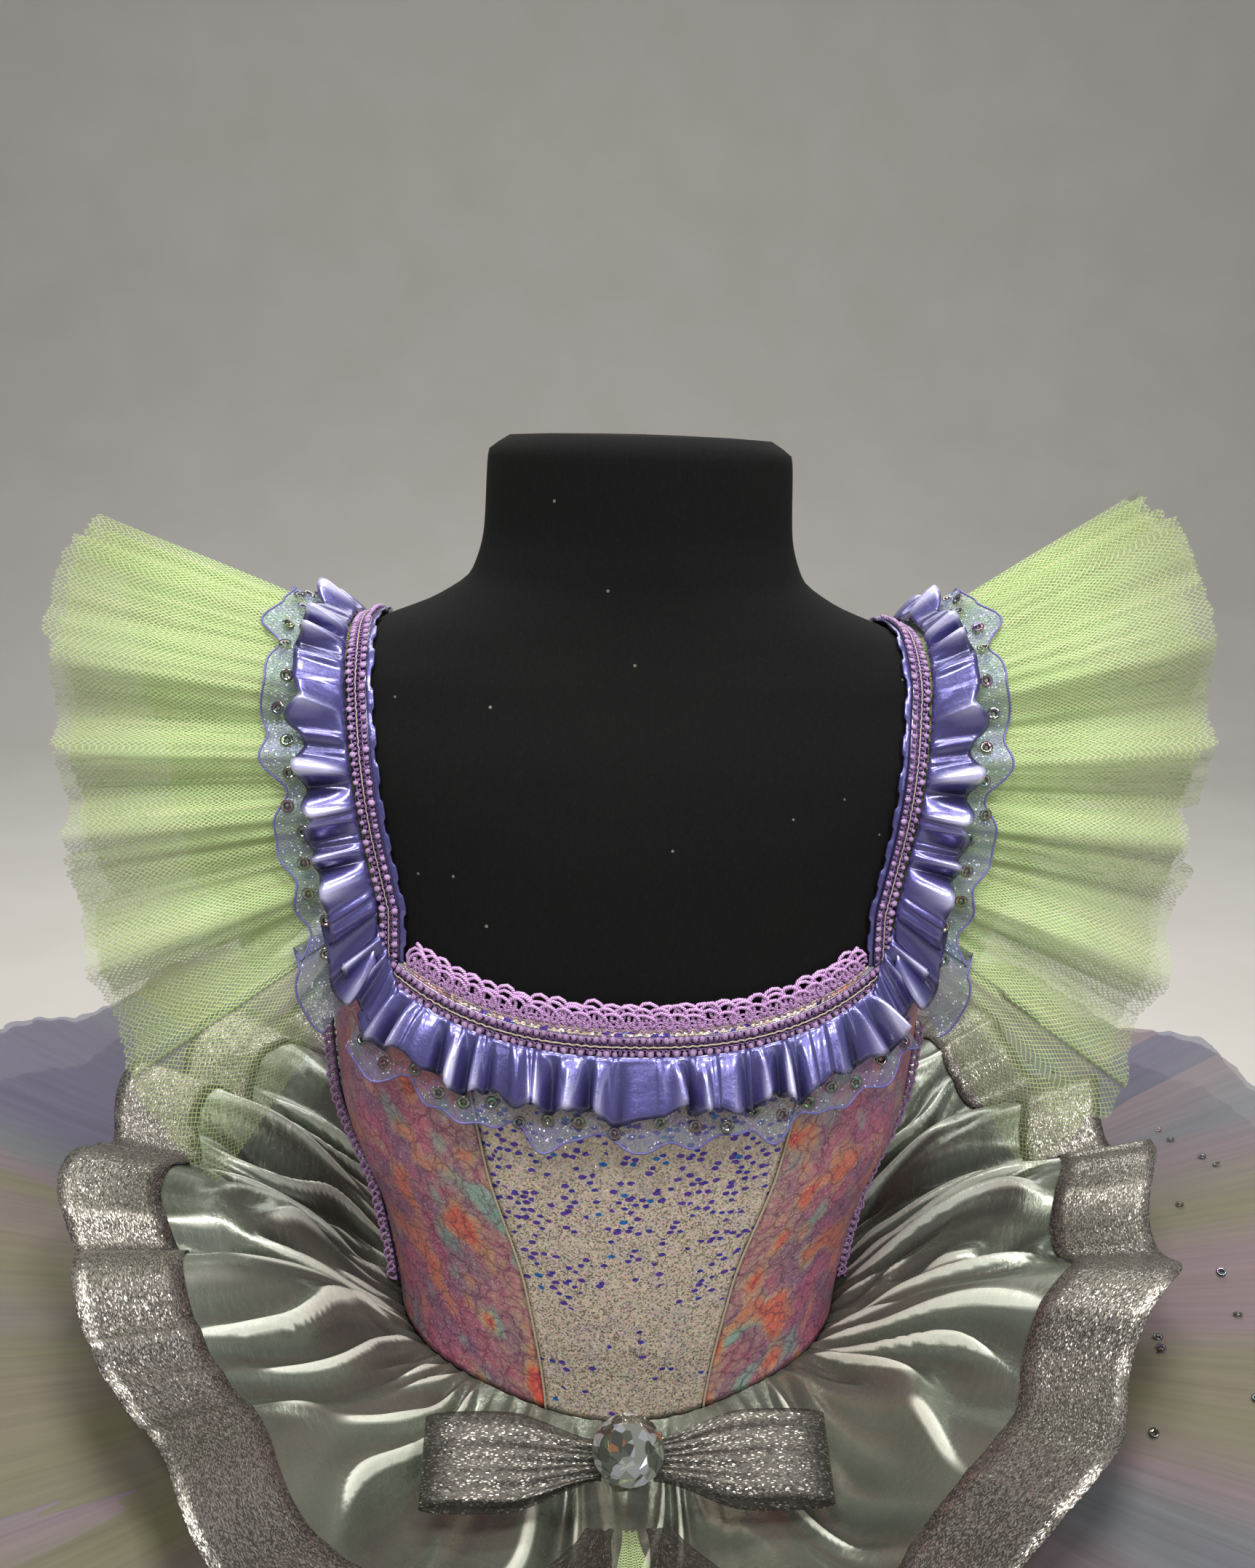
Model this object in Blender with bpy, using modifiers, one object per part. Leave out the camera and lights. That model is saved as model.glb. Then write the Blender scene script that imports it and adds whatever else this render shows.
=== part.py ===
"""Child's tutu dress on a limbless dress form.

Lengths are in millimetres and heights are measured from the waist seam until a mesh is made, in metres,
with the floor at z = 0. The wearer's front faces -Y and the wearer's left side is +X.
"""

import math

import bpy
import numpy as np

MM = 0.001

# The dress form
WAIST_ABOVE_FLOOR = 212.0
BASE_THICKNESS = 12.0
BASE_HALF_WIDTH = 118.0
BASE_HALF_DEPTH = 96.0
SEAM_GAP = 0.3
NECK_TOP = 352.0
FORM_SIDES = 36

# Each row is one level of the form: height, half width, half depth, centre y, fullness of the superellipse
BODY_HEIGHT, BODY_WIDTH, BODY_DEPTH, BODY_CENTRE, BODY_FULLNESS = range(5)
BODY = np.array(
    (
        (-200.0, 106.0, 86.0, 2.0, 2.30),
        (-110.0, 110.0, 90.0, 3.0, 2.30),
        (-50.0, 99.0, 82.0, 2.0, 2.25),
        (0.0, 90.0, 77.0, 0.0, 2.20),
        (45.0, 96.0, 79.0, -1.0, 2.20),
        (100.0, 112.0, 84.0, -2.0, 2.30),
        (150.0, 115.0, 86.0, -2.0, 2.40),
        (205.0, 118.0, 82.0, 0.0, 2.50),
        (240.0, 126.0, 73.0, 2.0, 2.60),
        (264.0, 126.0, 62.0, 4.0, 2.50),
        (280.0, 104.0, 54.0, 4.0, 2.30),
        (292.0, 76.0, 50.0, 4.0, 2.20),
        (302.0, 63.0, 48.0, 4.0, 2.10),
        (318.0, 58.5, 47.0, 5.0, 2.00),
        (346.0, 57.0, 46.0, 6.0, 2.00),
        (NECK_TOP, 49.0, 39.0, 6.0, 2.00),
    )
)
FORM_LEVELS_BELOW = (-200.0, -110.0, -50.0, -22.0, 0.0, 22.0, 45.0, 75.0, 105.0, 150.0, 205.0, 232.0, 250.0)
FORM_LEVELS_ABOVE = (262.0, 270.0, 277.0, 284.0, 291.0, 297.0, 304.0, 318.0, 346.0, NECK_TOP)

# Bodice
CLOTH = 1.2
BODICE_OFFSET = 1.05
NECK_FRONT = 150.0
NECK_CORNER = 172.0
NECK_BACK = 162.0
NECK_CORNER_BACK = 176.0
ARMHOLE = 132.0
EDGE_ABOVE_BRAID = 5.3
CORNER_ANGLE = 46.0
CORNER_ANGLE_BACK = 134.0
CORNER_FLAT = 5.0
SIDE_SEAM_ANGLE = 86.0
PANEL_SEAM_TOP = 29.0
PANEL_SEAM_BOTTOM = 17.0
PANEL_GAP_ANGLE = 0.12
POINT_DROP = 10.0
POINT_SPREAD = 26.0
PLACKET_OVERLAP = 4.0
PLACKET_SHORT = 22.0
PLACKET_RISE = 4.0
PANEL_ROWS = 7
FRONT_COLUMNS = 8
SIDE_FRONT_COLUMNS = 10
BACK_COLUMNS = 14
PLACKET_COLUMNS = 3

# Straps and trims
STRAP_CENTRE_HEIGHT = 190.0
STRAP_SIDE = 85.0
STRAP_SPREAD = 16.0
STRAP_WIDTH = 10.0
STRAP_START = -6.5
STRAP_END = 187.5
BRAID_WIDTH = 9.6
BRAID_THICKNESS = 1.6
BRAID_OFFSET = 2.65
BRAID_END = 2.0
NECK_TRIM_COLUMNS = 21
SIDE_BRAID_WIDTH = 8.0
SIDE_BRAID_FROM = 5.0
SIDE_BRAID_BELOW_ARMHOLE = 6.0
SIDE_BRAID_ROWS = 12
LACE_FROM = 5.7
LACE_TO = 16.0
LACE_END = 8.5

# Frills: depth from the braid outwards, number of folds, height of a fold at the edge
FRILL_START = 5.8
SHOULDER_FRILL_INSET = 6.5
SHOULDER_FRILL_INSET_BACK = 9.5
SATIN_DEPTH = 16.0
ORGANZA_DEPTH = 28.0
WING_DEPTH = 101.0
FRILL_WALL = 1.0
FRILL_CLEAR = 0.4
FRILL_STEP = 2.0
FRILL_GROWTH = 1.2
POINTS_A_FOLD = 4
NECK_FRILL_INSET = 1.5
NECK_FRILL_INSET_BACK = 3.5
NECK_FRILL_FLARE = 0.30
NECK_FRILL_TURN = 5
SHOULDER_FRILL_START = 6.2
SHOULDER_FRILL_OUT = -0.3
SATIN_FOLD = 4.0
ORGANZA_FOLD = 3.5
WING_FOLD = 9.0
FRONT_SATIN_FOLDS = 14
BACK_SATIN_FOLDS = 11
STRAP_SATIN_FOLDS = 16
FRONT_ORGANZA_FOLDS = 7
BACK_ORGANZA_FOLDS = 6
STRAP_ORGANZA_FOLDS = 9
WING_FOLDS = 12
WING_ROWS = 3

# Direction in which the strap's frills stand: turn round the shoulder in degrees, then x, y and z towards +X
FAN_TURN, FAN_X, FAN_Y, FAN_Z = range(4)
FAN = np.array(
    (
        (-13.0, 0.52, -0.12, -0.84),
        (2.0, 0.84, -0.06, -0.54),
        (22.0, 0.97, -0.02, -0.22),
        (50.0, 1.00, 0.00, 0.04),
        (90.0, 0.94, 0.00, 0.34),
        (130.0, 0.99, 0.02, 0.02),
        (170.0, 0.87, 0.08, -0.46),
        (194.0, 0.52, 0.14, -0.84),
    )
)

FAN_LIFT_LEFT = 0.26

# Skirts
SKIRT_ROOT_OFFSET = 3.5
OVERSKIRT_REACH = 181.0
OVERSKIRT_FOLDS = 36
OVERSKIRT_SIDE_HEIGHT = 60.0
OVERSKIRT_FRONT_HEIGHT = -6.0
OVERSKIRT_PUFF = 11.0
OVERSKIRT_FOLD = 8.5
RIBBON_REACH = 216.0
RIBBON_RISE = 9.0
BOW_DIP = 13.0
FRONT_SPREAD = 48.0
TUTU_FOLDS = 16
TUTU_FOLD = 7.0
TUTU_FRONT_DROP = 70.0
OVERSKIRT_ROWS = (0.0, 0.35, 1.0)
RIBBON_ROWS = (1.012, 2.0)
FOLD_GROWTH = 1.2
TIER_CLEAR = 0.75

# Each row is one tier of the tutu: reach, height of the rim at the sides, depth of the root below the waist
TIER_REACH, TIER_RIM, TIER_ROOT = range(3)
TIER_ROWS = (0.0, 0.3, 1.0)
TIERS = ((350.0, 40.0, 7.0), (344.0, 16.0, 14.0), (334.0, -8.0, 21.0))

# Bow
BOW_CENTRE = (-1.5, -118.0, 5.0)
BOW_UP = (0.0, 0.88, 0.475)
BOW_LIFT = 2.9
BOW_LOOP = 62.0
BOW_LOOP_THICKNESS = 14.0
BOW_RIBBON = 30.0
BOW_PINCH = 13.0
BOW_WALL = 1.0
LOOP_POINTS = 15
LOOP_GAP = 0.03
LOOP_FULL_AT = 0.55
KNOT_HALF = 8.5
KNOT_BOTTOM = -5.5
KNOT_TOP = 10.2
GEM_SIDES = 16
GEM_RADIUS = 12.5
GEM_BEVEL = 0.8
GEM_GIRDLE = 1.2
GEM_STEP = 2.5
GEM_STEP_HEIGHT = 3.6
GEM_TABLE = 7.0
GEM_HEIGHT = 6.0
TAIL_POINTS = 7
TAIL_START = 10.0
TAIL_PINCH = 0.22

# Each row is one tail of the bow: name, x at its start, x at its end, length, width, clearance, finish
BOW_TAILS = (
    ("right", -11.0, -28.0, 50.0, 22.0, 0.9, "silver"),
    ("left", 10.0, 25.0, 50.0, 22.0, 0.9, "silver"),
    ("net", -0.5, 0.0, 50.0, 12.0, 0.6, "net"),
)


def smooth_column(rows, column, at):
    """Value of a table's column at the places given, by cubic pieces that never overshoot the rows."""
    x = rows[:, 0]
    y = rows[:, column]
    at = np.clip(at, x[0], x[-1])
    slope = np.diff(y) / np.diff(x)
    same_way = slope[:-1] * slope[1:] > 0
    inner = np.zeros(len(slope) - 1)
    inner[same_way] = 2.0 / (1.0 / slope[:-1][same_way] + 1.0 / slope[1:][same_way])
    tangent = np.concatenate((slope[:1], inner, slope[-1:]))
    k = np.clip(np.searchsorted(x, at, side="right") - 1, 0, len(x) - 2)
    step = x[k + 1] - x[k]
    t = (at - x[k]) / step
    start = (1 + 2 * t) * (1 - t) ** 2 * y[k] + t * (1 - t) ** 2 * step * tangent[k]
    end = t**2 * (3 - 2 * t) * y[k + 1] - t**2 * (1 - t) * step * tangent[k + 1]
    return start + end


def unit(vectors):
    return vectors / np.linalg.norm(vectors, axis=-1, keepdims=True)


def body_excess(points):
    """Below zero inside the form, zero on its surface and above zero outside it."""
    x, y, z = np.moveaxis(points, -1, 0)
    width = smooth_column(BODY, BODY_WIDTH, z)
    depth = smooth_column(BODY, BODY_DEPTH, z)
    centre = smooth_column(BODY, BODY_CENTRE, z)
    power = smooth_column(BODY, BODY_FULLNESS, z)
    return (np.abs(x) / width) ** power + (np.abs(y - centre) / depth) ** power - 1.0


def body_normal(points):
    """Outward normal of the form, from the slope of body_excess along each axis."""
    reach = 0.5
    slopes = [body_excess(points + reach * axis) - body_excess(points - reach * axis) for axis in np.eye(3)]
    return unit(np.stack(slopes, -1))


def body_point(angle, height, out=0.0):
    """Point of the form at an angle in degrees from the front, moved out along the normal."""
    turn = np.radians(angle)
    height = np.broadcast_to(height, turn.shape).astype(float)
    power = 2.0 / smooth_column(BODY, BODY_FULLNESS, height)
    width = smooth_column(BODY, BODY_WIDTH, height)
    depth = smooth_column(BODY, BODY_DEPTH, height)
    x = width * np.sign(np.sin(turn)) * np.abs(np.sin(turn)) ** power
    forward = depth * np.sign(np.cos(turn)) * np.abs(np.cos(turn)) ** power
    points = np.stack((x, smooth_column(BODY, BODY_CENTRE, height) - forward, height), -1)
    return points + np.asarray(out)[..., None] * body_normal(points)


def strap_point(side, turn):
    """Point of the form under a strap: turn is in degrees, from the front over the shoulder to the back."""
    angle = np.radians(turn)
    x = side * (STRAP_SIDE + STRAP_SPREAD * np.clip(np.sin(angle), 0, 1))
    ray = np.stack((np.zeros_like(angle), -np.cos(angle), np.sin(angle)), -1)
    start = np.stack((x, np.zeros_like(angle), np.full_like(angle, STRAP_CENTRE_HEIGHT)), -1)
    near, far = np.zeros_like(angle), np.full_like(angle, 160.0)
    for _ in range(40):
        middle = 0.5 * (near + far)
        inside = body_excess(start + middle[..., None] * ray) < 0
        near, far = np.where(inside, middle, near), np.where(inside, far, middle)
    return start + near[..., None] * ray


def ease(value):
    value = np.clip(value, 0, 1)
    return value * value * (3 - 2 * value)


def neck_height(angle):
    """Height of the neckline braid: a shallow curve in front, a shallower one behind."""
    turn = np.abs(angle)
    front = NECK_FRONT + (NECK_CORNER - NECK_FRONT) * np.clip(turn / CORNER_ANGLE, 0, 1) ** 2
    behind = np.clip((180 - turn) / (180 - CORNER_ANGLE_BACK), 0, 1) ** 2
    back = NECK_BACK + (NECK_CORNER_BACK - NECK_BACK) * behind
    return np.where(turn < 90, front, back)


def top_height(angle):
    """Top edge of the bodice: the neckline between the straps and the armhole outside them."""
    turn = np.abs(angle)
    down_front = ease((turn - CORNER_ANGLE - CORNER_FLAT) / (80 - CORNER_ANGLE - CORNER_FLAT))
    down_back = ease((CORNER_ANGLE_BACK - CORNER_FLAT - turn) / (CORNER_ANGLE_BACK - CORNER_FLAT - 100))
    corner = np.where(turn < 90, NECK_CORNER, NECK_CORNER_BACK)
    fall = np.where(turn < 90, down_front, down_back)
    armhole = corner + (ARMHOLE - corner) * fall
    on_neck = (turn < CORNER_ANGLE) | (turn > CORNER_ANGLE_BACK)
    return np.where(on_neck, neck_height(angle), armhole) + EDGE_ABOVE_BRAID


def seam_height(angle):
    """Waist seam: level, with a shallow point at the front."""
    turn = (np.asarray(angle) + 180) % 360 - 180
    return -POINT_DROP * np.exp(-((turn / POINT_SPREAD) ** 2))


def material(name, colour, roughness, metallic=0.0):
    made = bpy.data.materials.new(name)
    made.use_nodes = True
    shader = made.node_tree.nodes["Principled BSDF"]
    shader.inputs["Base Color"].default_value = (*colour, 1)
    shader.inputs["Roughness"].default_value = roughness
    shader.inputs["Metallic"].default_value = metallic
    made.diffuse_color = (*colour, 1)
    return made


def world(points):
    """Millimetres above the waist seam to metres above the floor."""
    return (points + np.array((0, 0, WAIST_ABOVE_FLOOR))) * MM


def add_object(name, mesh, finish):
    mesh.materials.append(finish)
    mesh.shade_smooth()
    made = bpy.data.objects.new(name, mesh)
    DRESS.objects.link(made)
    return made


def grid_quads(index):
    """Corners of each face of a grid of point numbers."""
    return np.stack((index[:-1, :-1], index[:-1, 1:], index[1:, 1:], index[1:, :-1]), -1).reshape(-1, 4)


def cloth_object(name, points, finish, wall=CLOTH, closed=False):
    """A grid of points made one open surface and given its thickness on the side it faces."""
    rows, columns = points.shape[:2]
    index = np.arange(rows * columns).reshape(rows, columns)
    if closed:
        index = np.concatenate((index, index[:, :1]), axis=1)
    mesh = bpy.data.meshes.new(name)
    mesh.from_pydata(world(points.reshape(-1, 3)).tolist(), [], grid_quads(index).tolist())
    made = add_object(name, mesh, finish)
    shell = made.modifiers.new("Wall", "SOLIDIFY")
    shell.thickness = wall * MM
    shell.offset = 1
    shell.use_even_offset = True
    shell.use_quality_normals = True
    return made


def rings_object(name, rings, finish):
    """A closed loft through level rings of points, with flat ends."""
    count, sides = rings.shape[:2]
    mesh = bpy.data.meshes.new(name)
    index = np.arange(count * sides).reshape(count, sides)
    index = np.concatenate((index, index[:, :1]), axis=1)
    ends = [index[0, :-1][::-1].tolist(), index[-1, :-1].tolist()]
    mesh.from_pydata(world(rings.reshape(-1, 3)).tolist(), [], grid_quads(index).tolist() + ends)
    return add_object(name, mesh, finish)


def make_form():
    angle = np.linspace(0, 360, FORM_SIDES, endpoint=False)
    levels = np.array(FORM_LEVELS_BELOW + FORM_LEVELS_ABOVE)
    levels[0] += SEAM_GAP
    rings = np.stack([body_point(angle, level) for level in levels])
    rings_object("dress_form", rings, FINISH["jersey"])
    turn = np.radians(angle)
    x, y = BASE_HALF_WIDTH * np.sin(turn), -BASE_HALF_DEPTH * np.cos(turn)
    bottom = -WAIST_ABOVE_FLOOR
    levels = (bottom, bottom + BASE_THICKNESS)
    base = np.stack([np.stack((x, y, np.full_like(x, level)), -1) for level in levels])
    rings_object("form_base", base, FINISH["base"])


def panel_points(left_seam, right_seam, columns, out=BODICE_OFFSET, rise=0.0, short=0.0):
    """A bodice panel between two seams, each given by its angle at the bottom and at the top."""
    up = np.linspace(0, 1, PANEL_ROWS)[:, None]
    across = np.linspace(0, 1, columns)[None, :]
    left = left_seam[0] + (left_seam[1] - left_seam[0]) * up
    right = right_seam[0] + (right_seam[1] - right_seam[0]) * up
    angle = left + (right - left) * across
    low, high = seam_height(angle) + rise, top_height(angle) - short
    return body_point(angle, low + (high - low) * up, np.full(angle.shape, out))


def make_bodice():
    """Five panels: the centre front, two side fronts and two backs that lap at the centre back."""
    gap = PANEL_GAP_ANGLE
    front = np.array((PANEL_SEAM_BOTTOM, PANEL_SEAM_TOP))
    side = np.full(2, SIDE_SEAM_ANGLE)
    middle = np.full(2, 180.0)
    panels = (
        ("bodice_front_centre", -front + gap, front - gap, FRONT_COLUMNS, "pearl"),
        ("bodice_side_front_right", -side + gap, -front - gap, SIDE_FRONT_COLUMNS, "bubble"),
        ("bodice_side_front_left", front + gap, side - gap, SIDE_FRONT_COLUMNS, "bubble"),
        ("bodice_back_right", -middle + gap, -side - gap, BACK_COLUMNS, "bubble"),
        ("bodice_back_left", side + gap, middle - gap, BACK_COLUMNS, "bubble"),
    )
    for name, left_seam, right_seam, columns, finish in panels:
        cloth_object(name, panel_points(left_seam, right_seam, columns), FINISH[finish])
    lap = math.degrees(PLACKET_OVERLAP / BODY[3][BODY_WIDTH])
    outside = BODICE_OFFSET + CLOTH + SEAM_GAP
    flap = panel_points(-middle - lap, -middle + lap, PLACKET_COLUMNS, outside, PLACKET_RISE, PLACKET_SHORT)
    cloth_object("back_placket", flap, FINISH["bubble"])


def neck_rows(angle, out, ups):
    """Lines along the neckline, each one a height above or below the middle of its braid."""
    height = neck_height(np.where(angle > 180, angle - 360, angle))
    return np.stack([body_point(angle, height + up, np.full(angle.shape, out)) for up in ups])


def make_neck_trims():
    """Braid round the front and back necklines, and lace that stands above each of them."""
    half = BRAID_WIDTH / 2
    for name, middle, reach in (("front", 0.0, CORNER_ANGLE), ("back", 180.0, 180 - CORNER_ANGLE_BACK)):
        spread = np.linspace(-1, 1, NECK_TRIM_COLUMNS)
        braid = neck_rows(middle + (reach - BRAID_END) * spread, BRAID_OFFSET, (-half, 0, half))
        cloth_object(f"neck_braid_{name}", braid, FINISH["braid"], BRAID_THICKNESS)
        lace = neck_rows(middle + (reach - LACE_END) * spread, BODICE_OFFSET, (LACE_FROM, LACE_TO))
        cloth_object(f"neck_lace_{name}", lace, FINISH["lace"])


def make_side_braids():
    """Braid down each side seam of the bodice."""
    height = np.linspace(SIDE_BRAID_FROM, ARMHOLE - SIDE_BRAID_BELOW_ARMHOLE, SIDE_BRAID_ROWS)
    out = np.full(height.shape, BRAID_OFFSET + SEAM_GAP)
    half = math.degrees(SIDE_BRAID_WIDTH / 2 / BODY[3][BODY_WIDTH])
    for name, way in (("right", -1), ("left", 1)):
        edges = [np.full(height.shape, way * SIDE_SEAM_ANGLE + across) for across in (half, -half)]
        rows = np.stack([body_point(edge, height, out) for edge in edges])
        cloth_object(f"side_braid_{name}", rows, FINISH["braid"], CLOTH)


def strap_frame(side, turn):
    """Points under the strap, the way along it, the form's normal and the way across it to the shoulder."""
    points = strap_point(side, turn)
    along = unit(np.gradient(points, axis=0))
    normal = body_normal(points)
    across = unit(np.cross(along, normal)) * side
    across *= np.sign(np.sum(across[:, :1] * side))
    return points, along, normal, across


def make_straps():
    for name, side in (("right", -1), ("left", 1)):
        turn = np.linspace(STRAP_START, STRAP_END, 25)
        points, _, normal, across = strap_frame(side, turn)
        for piece, width, out, wall, finish in (
            ("shoulder_strap", STRAP_WIDTH, BODICE_OFFSET, CLOTH, "satin"),
            ("strap_braid", BRAID_WIDTH, BRAID_OFFSET, BRAID_THICKNESS, "braid"),
        ):
            edges = [points + sign * across * width / 2 for sign in (-1, 1)]
            edges = [edge + normal * (out + 0.3) for edge in edges]
            rows = np.stack(edges if side < 0 else edges[::-1])
            cloth_object(f"{piece}_{name}", rows, FINISH[finish], wall)


def fan_direction(side, turn):
    x, y, z = (smooth_column(FAN, column, turn) for column in (FAN_X, FAN_Y, FAN_Z))
    lift = np.where(side > 0, FAN_LIFT_LEFT, 0.0) * np.clip(np.sin(np.radians(turn)), 0, 1) ** 4
    return unit(np.stack((x * side, y, z + lift), -1))


def fold_wave(along, folds):
    """Zero at both ends and in each valley, one on each crest."""
    return 0.5 - 0.5 * np.cos(2 * np.pi * folds * along)


def frill_layers(along, depth, layer, folds):
    """Height of a layer above the line it is sewn on: it lies on the waves of the layers below it."""
    height = FRILL_CLEAR + FRILL_STEP * layer
    for count, fold, reach in folds[: layer + 1]:
        wave = np.sin(2 * np.pi * count * along) if reach == WING_DEPTH else fold_wave(along, count)
        height = height + fold * (depth / reach) ** FRILL_GROWTH * wave
    return height


def frill_points(root, direction, normal, along, reach, rows, layer, folds, out=0.0, away=None):
    """A frill from its root line: rows lie further along the fan direction, raised by the layer's waves.

    Where the raised root would lean back over the strap, the whole layer starts further out instead.
    """
    up = unit(np.cross(direction, np.gradient(root, axis=0)))
    up *= np.sign(np.sum(up * normal, axis=-1, keepdims=True))
    start = np.zeros(len(along))
    if away is not None:
        lean = -np.sum(up * away, axis=-1) / np.sum(direction * away, axis=-1)
        start = np.clip(lean, 0, None) * (out + FRILL_CLEAR + FRILL_STEP * layer)
    lines = []
    for row in np.linspace(0, 1, rows):
        depth = start + (reach - start) * row
        height = out + frill_layers(along, depth, layer, folds)
        lines.append(root + direction * depth[:, None] + up * height[:, None])
    return np.stack(lines)


def make_neck_frills():
    """Organza under satin, hanging from the front and back necklines."""
    layers = (("organza", ORGANZA_DEPTH), ("satin", SATIN_DEPTH))
    front, back = CORNER_ANGLE - NECK_FRILL_INSET, 180 - CORNER_ANGLE_BACK - NECK_FRILL_INSET_BACK
    for name, middle, half, satin, organza in (
        ("front", 0.0, front, FRONT_SATIN_FOLDS, FRONT_ORGANZA_FOLDS),
        ("back", 180.0, back, BACK_SATIN_FOLDS, BACK_ORGANZA_FOLDS),
    ):
        folds = ((organza, ORGANZA_FOLD, ORGANZA_DEPTH), (satin, SATIN_FOLD, SATIN_DEPTH))
        along = np.linspace(0, 1, POINTS_A_FOLD * satin + 1)
        angle = middle + half * (2 * along - 1)
        folded = np.where(angle > 180, angle - 360, angle)
        out = np.full(angle.shape, BODICE_OFFSET + CLOTH)
        root = body_point(angle, neck_height(folded) - FRILL_START, out)
        normal = body_normal(root)
        side = np.where(folded < 0, -1.0, 1.0)
        end = fan_direction(side, np.where(np.abs(folded) < 90, FAN[0, FAN_TURN], FAN[-1, FAN_TURN]))
        flare = np.array((NECK_FRILL_FLARE, NECK_FRILL_FLARE, 0))
        down = unit(normal * flare + np.array((0, 0, -1.0)))
        weight = np.abs(2 * along - 1)[:, None] ** NECK_FRILL_TURN
        direction = unit(down * (1 - weight) + end * weight)
        for layer, (piece, reach) in enumerate(layers):
            points = frill_points(root, direction, normal, along, reach, 2, layer, folds)
            cloth_object(f"{piece}_frill_{name}", points[:, ::-1], FINISH[piece], FRILL_WALL)


def make_shoulder_frills():
    """Net wing under organza under satin, all standing out from the strap."""
    folds = (
        (WING_FOLDS, WING_FOLD, WING_DEPTH),
        (STRAP_ORGANZA_FOLDS, ORGANZA_FOLD, ORGANZA_DEPTH),
        (STRAP_SATIN_FOLDS, SATIN_FOLD, SATIN_DEPTH),
    )
    layers = (
        ("net_wing", WING_DEPTH, "net", WING_ROWS),
        ("organza_frill", ORGANZA_DEPTH, "organza", 2),
        ("satin_frill", SATIN_DEPTH, "satin", 2),
    )
    along = np.linspace(0, 1, POINTS_A_FOLD * STRAP_SATIN_FOLDS + 1)
    first = FAN[0, FAN_TURN] + SHOULDER_FRILL_INSET
    last = FAN[-1, FAN_TURN] - SHOULDER_FRILL_INSET_BACK
    turn = first + (last - first) * along
    for name, side in (("right", -1), ("left", 1)):
        middle, _, normal, across = strap_frame(side, turn)
        root = middle + across * SHOULDER_FRILL_START
        direction = fan_direction(side, turn)
        for layer, (piece, reach, finish, rows) in enumerate(layers):
            lift = SHOULDER_FRILL_OUT
            points = frill_points(root, direction, normal, along, reach, rows, layer, folds, lift, across)
            cloth_object(f"{piece}_{name}", points[:, :: -side], FINISH[finish], FRILL_WALL)


def front_share(angle):
    """One across the centre front, where the skirts hang lower under the bow, and zero elsewhere."""
    turn = (angle + 180) % 360 - 180
    return np.exp(-((turn / FRONT_SPREAD) ** 4))


def skirt_height(angle, side_height, front_height):
    return side_height + (front_height - side_height) * front_share(angle)


def overskirt_points(angle, out, wave):
    """Point of the overskirt; out is 0 at the waist, 1 at the satin's edge and 2 at the ribbon's."""
    root = body_point(angle, seam_height(angle), np.full(angle.shape, SKIRT_ROOT_OFFSET))
    turn = np.radians(angle)
    edge = np.stack((np.sin(turn), -np.cos(turn)), -1) * OVERSKIRT_REACH
    rim = skirt_height(angle, OVERSKIRT_SIDE_HEIGHT, OVERSKIRT_FRONT_HEIGHT)
    inner = min(out, 1.0)
    beyond = (out - inner) * (RIBBON_REACH - OVERSKIRT_REACH)
    plan = root[:, :2] + (edge - root[:, :2]) * inner + edge / OVERSKIRT_REACH * beyond
    rise = (out - inner) * RIBBON_RISE
    front = front_share(angle)
    puff = (OVERSKIRT_PUFF * (1 - front) - BOW_DIP * front) * math.sin(math.pi * inner)
    height = root[:, 2] + (rim - root[:, 2]) * inner + puff + rise
    height = height + OVERSKIRT_FOLD * inner**FOLD_GROWTH * wave
    return np.concatenate((plan, height[:, None]), axis=1)


def skirt_wave(angle, folds):
    return np.cos(np.radians(angle) * folds)


def make_overskirt():
    angle = np.linspace(0, 360, OVERSKIRT_FOLDS * POINTS_A_FOLD, endpoint=False)
    wave = skirt_wave(angle, OVERSKIRT_FOLDS)
    satin = np.stack([overskirt_points(angle, out, wave) for out in OVERSKIRT_ROWS])
    cloth_object("satin_overskirt", satin[::-1], FINISH["sage_satin"], CLOTH, closed=True)
    ribbon = np.stack([overskirt_points(angle, out, wave) for out in RIBBON_ROWS])
    cloth_object("ribbon_hem", ribbon[::-1], FINISH["silver"], CLOTH, closed=True)


def tier_points(angle, out, tier, wave):
    """Point of one tier of the tutu; out is 0 at the waist and 1 at the rim."""
    drop = tier[TIER_ROOT] + BOW_DIP * front_share(angle)
    root = body_point(angle, seam_height(angle) - drop, np.full(angle.shape, TIER_CLEAR))
    turn = np.radians(angle)
    edge = np.stack((np.sin(turn), -np.cos(turn)), -1) * tier[TIER_REACH]
    rim = skirt_height(angle, tier[TIER_RIM], tier[TIER_RIM] - TUTU_FRONT_DROP)
    plan = root[:, :2] + (edge - root[:, :2]) * out
    height = root[:, 2] + (rim - root[:, 2]) * out
    height = height + TUTU_FOLD * out**FOLD_GROWTH * wave
    return np.concatenate((plan, height[:, None]), axis=1)


def make_tutu():
    """Three gathered tiers, each one a closed ring of cloth round the form."""
    angle = np.linspace(0, 360, TUTU_FOLDS * POINTS_A_FOLD, endpoint=False)
    wave = skirt_wave(angle, TUTU_FOLDS)
    for number, tier in enumerate(TIERS, 1):
        points = np.stack([tier_points(angle, out, tier, wave) for out in TIER_ROWS])
        cloth_object(f"tutu_tier_{number}", points[::-1], FINISH["tulle"], CLOTH, closed=True)


def bow_axes():
    across = np.array((1.0, 0, 0))
    up = unit(np.array(BOW_UP))
    return np.array(BOW_CENTRE), across, up, np.cross(across, up)


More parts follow.
